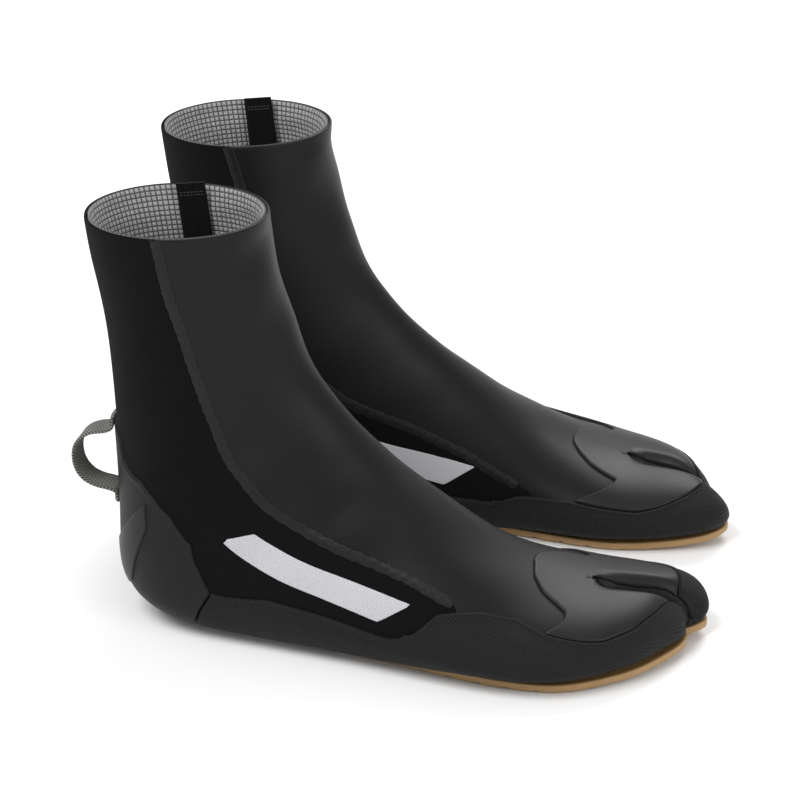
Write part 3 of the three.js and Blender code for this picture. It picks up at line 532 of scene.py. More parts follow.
def patch(inside, lines, levels):
    """The piece of grid where inside(s, degrees, u) holds, cut along its outline and levels."""
    sheet = whole_grid.copy()
    f = sheet.fields
    within = inside(f["s"], f["degrees"], f["u"])
    near = within.copy()
    t = sheet.tris[within[sheet.tris].any(1)]
    near[t.ravel()] = True
    d = distance_to(lines, sheet, near)
    f["d"] = np.where(within, d, -d)
    sheet.keep(near[sheet.tris].all(1))
    sheet.split("d", 0.0)
    sheet.keep(sheet.fields["d"][sheet.tris].mean(1) > 0)
    for level in levels:
        sheet.split("d", level)
    sheet.fields["d"] = np.maximum(sheet.fields["d"], 0)
    return sheet


def rolled(d, thick, width, start=0.35):
    """Height of a sheet's top near its edge: a quarter round that starts part way up."""
    t = np.clip(d / width, 0, 1)
    return thick * (start + (1 - start) * np.sqrt(1 - (1 - t) ** 2))


print("pattern lines ready")

# %% [markdown]
# ## Finishes
#
# Each finish is a node material: the Principled shader stays in the material, and the patterns
# that several finishes share are node groups with named inputs. The weaves read the UV map, which
# is in millimetres, so a 1 mm mesh is 1 mm on every boot and in every view. Image textures could
# hold the same patterns, but nodes stay sharp at any distance and need no files.
# %% Node helpers
def links_in(tree):
    """A short way to add a node with its settings and links."""
    def add(kind, settings=None, **inputs):
        node = tree.nodes.new(kind)
        for key, value in (settings or {}).items():
            setattr(node, key, value)
        for key, value in inputs.items():
            name = key.replace("_", " ")
            socket = node.inputs[int(key[1:])] if key[0] == "i" and key[1:].isdigit() \
                else node.inputs[name]
            if isinstance(value, bpy.types.NodeSocket):
                tree.links.new(value, socket)
            else:
                socket.default_value = value
        return node
    return add


def pattern_group(name, inputs, outputs):
    """An empty shader group with float inputs {name: default} and outputs [(name, type)]."""
    group = bpy.data.node_groups.new(name, "ShaderNodeTree")
    for label, value in inputs.items():
        socket = group.interface.new_socket(name=label, in_out="INPUT",
                                            socket_type="NodeSocketFloat")
        socket.default_value = value
    for label in outputs:
        group.interface.new_socket(name=label, in_out="OUTPUT", socket_type="NodeSocketFloat")
    add = links_in(group)
    entry, leave = add("NodeGroupInput"), add("NodeGroupOutput")
    return group, add, entry.outputs, leave.inputs


def math_in(add):
    def calc(operation, a, b=0.0, c=0.0):
        node = add("ShaderNodeMath", {"operation": operation}, i0=a, i1=b)
        if operation in ("MULTIPLY_ADD", "SMOOTH_MIN", "SMOOTH_MAX"):
            socket = node.inputs[2]
            if isinstance(c, bpy.types.NodeSocket):
                node.id_data.links.new(c, socket)
            else:
                socket.default_value = c
        return node.outputs[0]
    return calc


def uv_parts(add):
    uv = add("ShaderNodeUVMap", {"uv_map": "skin_mm"})
    parts = add("ShaderNodeSeparateXYZ", Vector=uv.outputs[0])
    return uv.outputs[0], parts.outputs["X"], parts.outputs["Y"]


# %% Shared pattern: a fine diamond mesh
mesh_group, add, given, out = pattern_group(
    "fine_mesh", {"Pitch": 1.0, "Sharpness": 2.0}, ["Height"])
calc = math_in(add)
_, across, along = uv_parts(add)
turned_a = calc("DIVIDE", calc("ADD", across, along), given["Pitch"])
turned_b = calc("DIVIDE", calc("SUBTRACT", across, along), given["Pitch"])
wave_a = calc("ABSOLUTE", calc("SINE", calc("MULTIPLY", turned_a, math.pi * 0.7071)))
wave_b = calc("ABSOLUTE", calc("SINE", calc("MULTIPLY", turned_b, math.pi * 0.7071)))
hole = calc("POWER", calc("MULTIPLY", wave_a, wave_b), given["Sharpness"])
mesh_group.links.new(calc("SUBTRACT", 1.0, hole), out["Height"])

# %% Shared pattern: knitted ribs
knit_group, add, given, out = pattern_group("knit_ribs", {"Pitch": 0.7}, ["Height"])
calc = math_in(add)
_, across, along = uv_parts(add)
column = calc("DIVIDE", across, given["Pitch"])
row = calc("DIVIDE", along, calc("MULTIPLY", given["Pitch"], 0.75))
lean = calc("MULTIPLY", calc("PINGPONG", column, 0.5), 1.2)
loop_wave = calc("SINE", calc("MULTIPLY", calc("ADD", row, lean), 2 * math.pi))
rib = calc("ABSOLUTE", calc("SINE", calc("MULTIPLY", column, math.pi)))
both = calc("MULTIPLY_ADD", loop_wave, 0.22, calc("MULTIPLY", rib, 0.7))
knit_group.links.new(calc("ADD", both, 0.2), out["Height"])

# %% Shared pattern: herringbone webbing
web_group, add, given, out = pattern_group(
    "webbing_weave", {"Rib": 2.4, "Thread": 0.75}, ["Height", "Pale"])
calc = math_in(add)
_, across, along = uv_parts(add)
zig = calc("PINGPONG", across, given["Rib"])
slant = calc("DIVIDE", calc("MULTIPLY_ADD", zig, 0.9, along), given["Thread"])
yarn = calc("SINE", calc("MULTIPLY", slant, math.pi))
valley = calc("DIVIDE", calc("PINGPONG", across, given["Rib"]), given["Rib"])
edge_dip = calc("POWER", calc("MULTIPLY", calc("SUBTRACT", 1.0, valley), valley), 0.35)
height = calc("MULTIPLY", calc("ABSOLUTE", yarn), calc("ADD", edge_dip, 0.3))
web_group.links.new(height, out["Height"])
pale = add("ShaderNodeMapRange", {"interpolation_type": "SMOOTHSTEP"}, Value=yarn)
pale.inputs["From Min"].default_value, pale.inputs["From Max"].default_value = -0.15, 0.35
web_group.links.new(pale.outputs[0], out["Pale"])

# %% Shared effect: handling marks and lint
marks_group, add, given, out = pattern_group(
    "handling_marks", {"Size": 20.0, "Lint": 0.5}, ["Cloud", "Grain", "Specks"])
calc = math_in(add)
place = add("ShaderNodeTexCoord").outputs["Object"]
cloud = add("ShaderNodeTexNoise", Vector=place, Scale=given["Size"], Detail=3.0, Roughness=0.55)
grain = add("ShaderNodeTexNoise", Vector=place, Scale=1900.0, Detail=2.0, Roughness=0.6)
speck = add("ShaderNodeTexVoronoi", Vector=place, Scale=330.0)
dot = calc("LESS_THAN", speck.outputs["Distance"], 0.07)
chance = add("ShaderNodeSeparateXYZ", Vector=speck.outputs["Color"]).outputs["X"]
specks = calc("MULTIPLY", dot, calc("GREATER_THAN", chance, calc("SUBTRACT", 1.0,
                                    calc("MULTIPLY", given["Lint"], 0.25))))
marks_group.links.new(cloud.outputs["Fac"], out["Cloud"])
marks_group.links.new(grain.outputs["Fac"], out["Grain"])
marks_group.links.new(specks, out["Specks"])

# %% Shared effect: rubbed edges
wear_group, add, given, out = pattern_group("rubbed_edges", {"Width": 1.6}, ["Mask"])
calc = math_in(add)
edge = add("ShaderNodeAttribute", {"attribute_name": "edge_mm"}).outputs["Fac"]
near = add("ShaderNodeMapRange", Value=edge)
wear_group.links.new(given["Width"], near.inputs["From Max"])
near.inputs["To Min"].default_value, near.inputs["To Max"].default_value = 1.0, 0.0
place = add("ShaderNodeTexCoord").outputs["Object"]
broken = add("ShaderNodeTexNoise", Vector=place, Scale=160.0, Detail=3.0)
patchy = calc("MULTIPLY", near.outputs[0], calc("MULTIPLY", broken.outputs["Fac"], 1.5))
wear_group.links.new(patchy, out["Mask"])
print("pattern groups:", [g.name for g in bpy.data.node_groups])


# %% [markdown]
# A finish is then the same few steps each time: a base colour that the masks lighten or darken, a
# roughness that varies a little, and one Bump node for the height of the pattern. The small
# class below keeps those steps short.
# %% The finish builder
def linear(red, green, blue):
    """A colour given as 0 to 255 on screen, as Blender's linear values."""
    def one(v):
        v /= 255
        return v / 12.92 if v <= 0.04045 else ((v + 0.055) / 1.055) ** 2.4
    return (one(red), one(green), one(blue), 1.0)


class Finish:
    def __init__(self, name, colour, roughness, specular=0.5, **shader):
        self.material = bpy.data.materials.new(name)
        self.material.use_nodes = True
        self.material.diffuse_color = colour = linear(*colour)
        tree = self.material.node_tree
        tree.nodes.clear()
        self.tree, self.add = tree, links_in(tree)
        self.calc = math_in(self.add)
        self.shader = self.add("ShaderNodeBsdfPrincipled")
        self.shader.inputs["Base Color"].default_value = colour
        self.shader.inputs["Roughness"].default_value = roughness
        self.shader.inputs["Specular IOR Level"].default_value = specular
        for key, value in shader.items():
            self.shader.inputs[key.replace("_", " ")].default_value = value
        exit_ = self.add("ShaderNodeOutputMaterial", Surface=self.shader.outputs[0])
        self.colour, self.roughness, self.normal = colour, roughness, None
        self.marks = self.add("ShaderNodeGroup", {"node_tree": marks_group})

    def use(self, group, **inputs):
        node = self.add("ShaderNodeGroup", {"node_tree": group})
        for key, value in inputs.items():
            node.inputs[key].default_value = value
        return node.outputs

    def tint(self, mask, colour, amount=1.0):
        """Mixes a colour in where the mask is high."""
        mix = self.add("ShaderNodeMix", {"data_type": "RGBA"})
        self.tree.links.new(self.calc("MULTIPLY", mask, amount), mix.inputs[0])
        if isinstance(self.colour, bpy.types.NodeSocket):
            self.tree.links.new(self.colour, mix.inputs[6])
        else:
            mix.inputs[6].default_value = self.colour
        mix.inputs[7].default_value = linear(*colour)
        self.colour = mix.outputs[2]
        self.tree.links.new(self.colour, self.shader.inputs["Base Color"])
        return self

    def clouded(self, low, high):
        """Roughness that varies from low to high in soft clouds."""
        spread = self.add("ShaderNodeMapRange", Value=self.marks.outputs["Cloud"])
        spread.inputs["To Min"].default_value = low
        spread.inputs["To Max"].default_value = high
        self.tree.links.new(spread.outputs[0], self.shader.inputs["Roughness"])
        return self

    def bump(self, height, depth_mm, strength=1.0):
        node = self.add("ShaderNodeBump", Height=height, Distance=depth_mm * MM,
                        Strength=strength)
        if self.normal is not None:
            self.tree.links.new(self.normal, node.inputs["Normal"])
        self.normal = node.outputs[0]
        self.tree.links.new(self.normal, self.shader.inputs["Normal"])
        return self

    def marked(self, size, cloud, light, lint=0.3):
        """Cloudy variation of the colour and a few specks of lint."""
        self.marks.inputs["Size"].default_value = size
        self.marks.inputs["Lint"].default_value = lint
        self.tint(self.marks.outputs["Cloud"], cloud, 0.55)
        return self.tint(self.marks.outputs["Specks"], light, 0.35)

    def grained(self, depth_mm):
        return self.bump(self.marks.outputs["Grain"], depth_mm)

    def worn(self, width, colour, amount):
        """Rubbed lighter along the piece's edges."""
        return self.tint(self.use(wear_group, Width=width)["Mask"], colour, amount)

    def woven(self, rib, thread, pale, depth_mm, marks):
        """Herringbone yarns, marked like the rest."""
        weave = self.use(web_group, Rib=rib, Thread=thread)
        self.tint(weave["Pale"], pale)
        return self.marked(*marks).bump(weave["Height"], depth_mm)


# %% Smooth-skin neoprene and jersey
smooth_neoprene = Finish("smooth_neoprene", (21, 21, 23), 0.42, 0.14)
smooth_neoprene.marked(14, (28, 28, 30), (70, 70, 72), 0.25).clouded(0.34, 0.52).grained(0.05)

jersey = Finish("jersey_neoprene", (12, 11, 12), 0.9, 0.03, Sheen_Weight=0.03,
                Sheen_Roughness=0.55)
ribs = jersey.use(knit_group, Pitch=0.75)["Height"]
# the crests of the knit ribs are painted a little lighter than the valleys: a painted highlight on
# the ribs
jersey.marked(18, (16, 14, 15), (80, 78, 78), 0.5).tint(ribs, (20, 18, 20), 0.5)
jersey.bump(ribs, 0.12).grained(0.06)

# %% Rubbers
mesh_rubber = Finish("mesh_rubber", (11, 12, 12), 0.6, 0.13)
net = mesh_rubber.use(mesh_group, Pitch=1.15, Sharpness=0.9)["Height"]
# the raised strands of the mesh are painted lighter than its hollows: painted highlight on the
# strands and painted shade in the hollows
mesh_rubber.marked(16, (20, 21, 21), (80, 78, 74)).tint(net, (38, 39, 38), 0.75)
mesh_rubber.worn(1.3, (44, 44, 44), 0.3).clouded(0.5, 0.7).bump(net, 0.28)

counter_rubber = Finish("counter_rubber", (19, 19, 20), 0.5, 0.17)
net = counter_rubber.use(mesh_group, Pitch=0.8, Sharpness=1.0)["Height"]
counter_rubber.marked(16, (28, 28, 29), (80, 78, 74)).worn(1.2, (46, 46, 46), 0.3)
counter_rubber.clouded(0.42, 0.6).bump(net, 0.07)

smooth_rubber = Finish("smooth_rubber", (25, 25, 27), 0.38, 0.2)
smooth_rubber.marked(15, (31, 31, 33), (84, 82, 80)).worn(1.0, (54, 54, 56), 0.3)
smooth_rubber.clouded(0.33, 0.5).grained(0.04)

seam_rubber = Finish("seam_rubber", (14, 14, 15), 0.5, 0.25)
seam_rubber.marked(40, (24, 24, 25), (70, 70, 68)).clouded(0.36, 0.68)
seam_rubber.bump(seam_rubber.marks.outputs["Cloud"], 0.3).grained(0.1)

gum_rubber = Finish("gum_rubber", (158, 124, 80), 0.5, 0.4)
gum_rubber.marked(30, (142, 108, 66), (90, 76, 58)).worn(1.4, (176, 146, 104), 0.4)
# from the arch back, the outsole's sidewall is tinted near-black, as dark as the rubber above it
_, gum_x, _ = uv_parts(gum_rubber.add)
heel_part = gum_rubber.add("ShaderNodeMapRange", Value=gum_x)
heel_part.inputs["From Min"].default_value = 128.0
heel_part.inputs["From Max"].default_value = 112.0
sidewall = gum_rubber.add("ShaderNodeAttribute", {"attribute_name": "edge_mm"}).outputs["Fac"]
sidewall = gum_rubber.calc("LESS_THAN", sidewall, 3.0)
gum_rubber.tint(gum_rubber.calc("MULTIPLY", heel_part.outputs[0], sidewall), (20, 20, 20))
gum_rubber.clouded(0.42, 0.62).grained(0.08)

# %% Lining cloth
PILLOW, PILLOWS_ROUND = 2.4, 96  # the size of a pillow in mm, and how many go round the leg
lining_cloth = Finish("thermal_lining", (178, 178, 177), 0.95, 0.1, Sheen_Weight=0.2,
                      Sheen_Roughness=0.5)
lining_cloth.marked(260, (112, 112, 111), (90, 90, 88), 0.8)
_, across, along = uv_parts(lining_cloth.add)
wave_a, wave_b = (lining_cloth.calc("ABSOLUTE", lining_cloth.calc("SINE", lining_cloth.calc(
    "MULTIPLY", way, math.pi / PILLOW))) for way in (across, along))
pillows = lining_cloth.calc("MINIMUM", wave_a, wave_b)
grid = lining_cloth.add("ShaderNodeMapRange", {"interpolation_type": "SMOOTHSTEP"}, Value=pillows)
for label, value in (("From Min", 0.12), ("From Max", 0.62), ("To Min", 1.0), ("To Max", 0.0)):
    grid.inputs[label].default_value = value
# the grooves between the pillows are painted dark: painted shade in the hollows of the waffle
lining_cloth.tint(grid.outputs[0], (48, 48, 48), 0.85).bump(grid.outputs[0], -0.3).grained(0.25)

# %% Film, webbing and threads
bar_film = Finish("pale_film", (190, 190, 194), 0.6, 0.15)
net = bar_film.use(mesh_group, Pitch=1.1, Sharpness=3.0)["Height"]
bar_film.marked(25, (178, 178, 182), (120, 120, 120), 0.2)
bar_film.tint(bar_film.calc("SUBTRACT", 1.0, net), (150, 150, 154), 0.7).bump(net, 0.08)

grey_webbing = Finish("grey_webbing", (30, 30, 29), 0.85, 0.3, Sheen_Weight=0.2)
grey_webbing.woven(2.5, 0.8, (150, 149, 141), 0.3, (50, (80, 80, 76), (160, 160, 156)))
black_webbing = Finish("black_webbing", (9, 9, 9), 0.75, 0.1, Sheen_Weight=0.03)
black_webbing.woven(2.2, 0.7, (17, 17, 18), 0.28, (50, (13, 13, 14), (80, 80, 78), 0.4))

pale_thread = Finish("pale_thread", (84, 84, 82), 0.7, 0.15)
pale_thread.marked(200, (60, 60, 58), (50, 50, 48), 0.2)
black_thread = Finish("black_thread", (17, 17, 18), 0.6, 0.35)
black_thread.marked(200, (30, 30, 31), (90, 90, 88), 0.2).grained(0.08)
insole_foam = Finish("insole_foam", (58, 62, 68), 0.95, 0.2)
insole_foam.marked(400, (86, 90, 96), (130, 130, 128), 0.8).grained(0.3)
print("finishes:", len(bpy.data.materials))

# %% [markdown]
# ## The neoprene bootie
#
# The upper is two colours of the same 3 mm neoprene: a smooth-skin panel down the shin and over
# the foot, and a knit-faced panel round the back and under the arch. Cut at the rim, the rubber
# foam shows as a dark edge. Both are cut from one grid along the seam, so they meet exactly.
# %% Front and rear panels
NEOPRENE = 3.0
RIM_SOFT = 0.5  # how far the cut edge at the rim is rounded over


def skive(s):
    """How much thinner the neoprene is cut near the rim, so its edge is fine."""
    t = np.clip((s - (TOP - 0.4)) / 0.4, 0, 1)
    return 1.35 * t * t * (3 - 2 * t)


def rim_soft(s, low, high):
    """Rounds the two corners of the cut edge at the rim."""
    t = np.clip((s - (TOP - 0.05)) / 0.05, 0, 1)
    drop = RIM_SOFT * (1 - np.sqrt(1 - t**2))
    return low + drop, high - drop


def seams(inset=0.0):
    lines = []
    for sign, seam, start in ((-1, seam_outer, 6.2), (1, seam_inner, 5.6)):
        s = np.linspace(start, TOP, 500)
        lines.append(dense(s, sign * (seam(s) + inset)))
        s = np.linspace(0, start, 200)
        lines.append(dense(s, sign * np.full(200, float(SOLE_EDGE))))
    return lines


def in_front(s, degrees, u):
    return np.abs(degrees) < on_side(seam_outer, seam_inner, s, degrees)


def panel(inside):
    sheet = patch(inside, seams(), [0.25, 0.6])
    d = sheet.fields["d"]
    low, high = rim_soft(sheet.fields["s"], skive(sheet.fields["s"]) - NEOPRENE,
                         rolled(d, 0.5, 0.6, 0.0) - 0.5)
    return closed_sheet(sheet, low, high)


both_boots("front_neoprene", panel(in_front), smooth_neoprene.material, ["front_panel"])
both_boots("rear_neoprene", panel(lambda s, a, u: ~in_front(s, a, u)), jersey.material,
           ["rear_panel", "sole_panel"])

# %% [markdown]
# ## The waffle lining
#
# The inside is a thermal knit with small square pillows, about 2.4 mm apart. Inside the cuff the
# pillows are close to the eye, so they are modelled: the inner face of the sheet goes in and out
# with two sine waves. Deep in the foot nobody sees them, so the grid is coarser there.
# %% Lining
LINING_OUT, LINING = -3.15, 1.15
lining_rows = np.concatenate([np.linspace(1.7, 10.8, 90), np.linspace(10.83, 14.95, 190),
                              [14.97, 14.985, 15.0]])
lining_round = np.linspace(-2, 2, 441)
lining_grid = over_last(lining_rows, lining_round)


def waffle(across, along):
    """0 in the grooves to 1 on the pillows."""
    a = np.abs(np.sin(np.pi * across / PILLOW)) * np.abs(np.sin(np.pi * along / PILLOW))
    return np.clip(a * 1.9, 0, 1) ** 0.7


f = lining_grid.fields
length = f["along"].reshape(len(lining_rows), -1)
f["along"] = (length[-1] - length).ravel()  # rows of pillows run level with the rim
f["across"] = f["degrees"] / 360 * PILLOWS_ROUND * PILLOW
pillow = waffle(f["across"], f["along"])
quiet = np.clip((TOP + 0.01 - f["s"]) / 0.08, 0, 1)
outer = LINING_OUT + skive(f["s"])
inner = outer - LINING + 0.35 * skive(f["s"]) - 0.4 * pillow * quiet
both_boots("waffle_lining", closed_sheet(lining_grid, *rim_soft(f["s"], inner, outer)),
           lining_cloth.material, ["lining"], sharp=60)
# the footbed stays the CAD piece, in a foam finish
for boot in ("right", "left"):
    frame["nodes"][boot + "_footbed"].data.materials.clear()
    frame["nodes"][boot + "_footbed"].data.materials.append(insole_foam.material)

# %% [markdown]
# ## The rubber rand
#
# The rand is a band of fine-mesh rubber glued round the foot. It wraps each toe by itself and
# turns under the foot. A raised lip runs along its top edge, where the mould pinched the sheet.
# The lip is a small wave in the height of the sheet, a fixed distance from the edge.
# %% Rand
RAND, COUNTER, CAP = 1.5, 1.5, 1.4
SEAT = 0.02  # glued pieces start this far above the neoprene


def rand_lines():
    lines = []
    for sign, top in ((-1, rand_outer), (1, rand_inner)):
        s = np.linspace(1.1, 10.05, 500)
        lines.append(dense(s, sign * np.maximum(top(s), 8)))
        a = np.linspace(104, 180, 60)
        lines.append(dense(counter_front(a), sign * a))
        s = np.linspace(-0.0, 1.6, 60)
        lines.append(skin(s, sign * slit_edge(s), 0.0))
    return lines


GROUND_FILL = 3.35  # the most it adds, which brings the rubber down to the ground


def ground_fill(s, degrees):
    """Extra rubber under the waist and the heel, where the black rubber reaches the ground."""
    def ramp(x, start, end):
        t = np.clip((x - start) / (end - start), 0, 1)
        return t * t * (3 - 2 * t)
    along = ramp(s, 5.6, 8.0) * (1 - ramp(s, 10.0, 11.2))
    return GROUND_FILL * along * ramp(np.abs(degrees), 112, 150)


def in_rand(s, degrees, u):
    a = np.abs(degrees)
    above = (s < 1.15) | (a > on_side(rand_outer, rand_inner, s, degrees))
    heel = (a > 94) & (s > counter_front(a))
    return above & ~heel & (s < 10.4) & (np.abs(u) > slit_edge(s))


rand = patch(in_rand, rand_lines(), [0.15, 0.4, 0.8, 1.3, 1.9, 2.6])
rand.fields["across"] = rand.fields["from_sole"]  # the mesh runs level with the ground
d = rand.fields["d"]
lip = 0.55 * np.exp(-((d - 1.25) / 0.75) ** 2) * (np.abs(rand.fields["degrees"]) < 130)
lip += ground_fill(rand.fields["s"], rand.fields["degrees"])
both_boots("mesh_rand", closed_sheet(rand, SEAT, SEAT + rolled(d, RAND - 0.25, 0.8) + lip),
           mesh_rubber.material, ["rand", "midsole"])

# %% [markdown]
# ## Toe cap
#
# The toe cap is a smooth moulded rubber sheet over both toes, split down the middle. Its rear
# edge makes a lobe behind the slit. It is cut in the same way, with a clean rounded edge.
# %% Toe cap
def cap_lines():
    a = np.linspace(-60, 75, 300)
    lines = [dense(cap_rear(a), a)]
    for sign, top in ((-1, rand_outer), (1, rand_inner)):
        s = np.linspace(1.15, 6.3, 300)
        lines.append(dense(s, sign * (top(s) - 0.6)))
        s = np.linspace(0.8, SLIT_CLOSED, 160)
        lines.append(skin(s, sign * slit_edge(s), 0.0))
    return lines


def in_cap(s, degrees, u):
    a = np.abs(degrees)
    below = a < on_side(rand_outer, rand_inner, s, degrees) - 0.6
    closed = (np.abs(u) > slit_edge(s)) | (s >= SLIT_CLOSED)
    return below & (s > 1.15) & (s < cap_rear(degrees)) & closed


cap = patch(in_cap, cap_lines(), [0.12, 0.35, 0.7, 1.1])
both_boots("split_toe_cap", closed_sheet(cap, SEAT, SEAT + rolled(cap.fields["d"], CAP, 1.1, 0.3)),
           smooth_rubber.material, ["toe_cap"])

# %% [markdown]
# ## Slit liner and bartack
#
# Inside the slit a thin rubber liner joins the two toes of the cap. At the rear end of the slit
# a dense row of stitches, a bartack, stops it from tearing.
# %% Slit liner
def in_slit(s, degrees, u):
    return (np.abs(u) < 0.8) & (s > 0.2) & (s < 4.8)


s = np.linspace(0.2, 4.8, 160)
liner_lines = [skin(s, 0.8 * np.ones(160), 0.0), skin(s, -0.8 * np.ones(160), 0.0)]
liner = patch(in_slit, liner_lines, [0.3])
both_boots("slit_liner", closed_sheet(liner, SEAT, SEAT + rolled(liner.fields["d"], 0.35, 0.3)),
           seam_rubber.material, ["toe_gusset"])


# %% Stitch maker
def tube(path, radius, sides=7):
    """Points and faces of a closed thread along a short path, thinner at its two ends."""
    path = np.asarray(path, float)
    n = len(path)
    tangent = np.gradient(path, axis=0)
    tangent /= np.linalg.norm(tangent, axis=1, keepdims=True)
    ref = np.array([0.3, 0.2, 1.0]) if abs(tangent[0][2]) < 0.8 else np.array([1.0, 0.2, 0.1])
    a = np.cross(tangent, ref)
    a /= np.linalg.norm(a, axis=1, keepdims=True)
    b = np.cross(tangent, a)
    t = np.linspace(0, 2 * math.pi, sides, endpoint=False)
    r = radius * np.sqrt(np.clip(1 - (2 * np.linspace(0, 1, n) - 1) ** 6, 0.08, 1))
    ring = (np.cos(t)[None, :, None] * a[:, None] + np.sin(t)[None, :, None] * b[:, None])
    points = (path[:, None] + ring * r[:, None, None]).reshape(-1, 3)
    faces = []
    for i in range(n - 1):
        for k in range(sides):
            j = (k + 1) % sides
            p, q = i * sides + k, i * sides + j
            faces += [[p, q, q + sides], [p, q + sides, p + sides]]
    points = np.vstack([points, path[0], path[-1]])
    for k in range(sides):
        j = (k + 1) % sides
        faces += [[len(points) - 2, j, k],
                  [len(points) - 1, (n - 1) * sides + k, (n - 1) * sides + j]]
    return points, np.array(faces)


def threads(paths, radius):
    """Many stitches as one mesh."""
    points, faces, count = [], [], 0
    for path in paths:
        p, f = tube(path, radius)
        points.append(p)
        faces.append(f + count)
        count += len(p)
    points, faces = np.concatenate(points), np.concatenate(faces)
    return points, faces, points[faces][..., :2], np.full(len(points), FAR)


# %% Bartack
tack_paths = []
for k in range(6):
    s = 4.99 + 0.022 * k
    u = np.linspace(-0.34, 0.34, 9)
    arch = 0.25 * np.sin(np.linspace(0, math.pi, 9))
    tack_paths.append(skin(np.full(9, s), u, CAP + 0.15 + arch))
both_boots("slit_bartack", threads(tack_paths, 0.21), pale_thread.material, ["slit_tack"])

# %% [markdown]
# ## Heel counter and its inlaid strip
#
# A stiffer rubber counter holds the heel. A raised smooth strip sweeps across it in a curve.
# %% Heel counter
def counter_lines():
    a = np.linspace(94, 180, 200)
    lines = []
    for sign in (-1, 1):
        lines += [dense(counter_front(a) + 0.016, sign * a), dense(counter_top(a), sign * a)]
    return lines


def in_counter(s, degrees, u):
    a = np.abs(degrees)
    return (a > 94.3) & (s > counter_front(a) + 0.016) & (s < counter_top(a))


counter = patch(in_counter, counter_lines(), [0.15, 0.4, 0.8, 1.3, 1.9])
counter.fields["across"] = counter.fields["from_sole"]
d = counter.fields["d"]
lip = 0.35 * np.exp(-((d - 1.1) / 0.6) ** 2) * (np.abs(counter.fields["degrees"]) < 150)
lip += ground_fill(counter.fields["s"], counter.fields["degrees"])
height = rolled(d, COUNTER - 0.2, 0.8) + lip
both_boots("moulded_counter", closed_sheet(counter, SEAT, SEAT + height),
           counter_rubber.material, ["heel_counter"])


# %% Heel strip
def strip_lines():
    a = np.linspace(119, 180, 160)
    lines = []
    for sign in (-1, 1):
        lines += [dense(strip_low(a), sign * a), dense(strip_top(a), sign * a),
                  dense(np.linspace(strip_low(119), strip_top(119), 20),
                        sign * np.full(20, 119.0))]
    return lines


def in_strip(s, degrees, u):
    a = np.abs(degrees)
    return (a > 119) & (s > strip_low(a)) & (s < strip_top(a))


strip = patch(in_strip, strip_lines(), [0.12, 0.35, 0.7])
both_boots("curved_strip", closed_sheet(
    strip, COUNTER - 0.3, COUNTER - 0.05 + rolled(strip.fields["d"], 0.65, 0.8, 0.2)),
    smooth_rubber.material, ["heel_strip"])

# %% [markdown]
# ## Seam beads and side bars
#
# The two panels are glued edge to edge, and a rough bead of liquid rubber seals the seam. It is
# spread by hand, so its edges wander a little. On each side a plain pale bar of printed film
# stands where a maker would put a mark of its own.
# %% Seam beads
def ragged(along, phase):
    """A slowly wandering width, in millimetres."""
    return (0.22 * np.sin(along * 0.83 + phase) + 0.13 * np.sin(along * 2.1 + 2 * phase)
            + 0.08 * np.sin(along * 4.7 + 3 * phase))


for name, sign, seam, start in (("outer", -1, seam_outer, 7.3), ("inner", 1, seam_inner, 7.12)):
    s = np.linspace(start, TOP, 600)
    bead_line = dense(s, sign * seam(s))
    bead = whole_grid.copy()
    f = bead.fields
    side = (f["s"] > start - 0.1) & (f["degrees"] * sign > 0)
    close = side & (np.abs(np.abs(f["degrees"]) - seam(f["s"])) < 16)
    gap = distance_to([bead_line], bead, close)
    edge_of = np.where(f["degrees"] * sign > seam(f["s"]), 1.0, -1.0)
    f["d"] = 2.55 + ragged(f["along"], 0.7 + 1.3 * (edge_of > 0) + sign) - gap
    bead.keep(close[bead.tris].all(1))
    bead.split("d", 0.0)
    bead.keep(bead.fields["d"][bead.tris].mean(1) > 0)
    for level in (0.2, 0.6, 1.2, 2.0):
        bead.split("d", level)
    f = bead.fields
    d = np.maximum(f["d"], 0)
    lumps = 0.12 * np.sin(f["along"] * 1.3 + sign) * np.sin(f["across"] * 1.9)
    height = rolled(d, 0.5, 1.2, 0.25) + lumps * np.clip(d, 0, 1) + 0.18 * np.clip(d - 1.2, 0, 1)
    word = "lateral" if sign < 0 else "medial"
    low, high = rim_soft(f["s"], np.full(len(d), SEAT), SEAT + height)
    both_boots(name + "_seam_bead", closed_sheet(bead, low, np.maximum(high, low + 0.02)),
               seam_rubber.material, ["seam_tape_" + word])

# %% Side bars
BAR_WIDTH, BAR_ANGLE = 14.0, 79
BAR_START, BAR_SPAN, BAR_SLANT = 7.95, 2.4, 0.16  # in stations of the last


def bar_marks(sign, t, v):
    """Station, signed angle and half width in degrees at places on the slanted bar."""
    t, v = np.broadcast_arrays(np.asarray(t, float), np.asarray(v, float))
    mid = BAR_START + BAR_SPAN * t
    one, two = (last_point(mid, np.radians(sign * (BAR_ANGLE + k))) for k in (-0.5, 0.5))
    d = BAR_WIDTH / 2 / np.linalg.norm(one - two, axis=-1)
    return mid + v * BAR_SLANT, sign * (BAR_ANGLE + v * d), d


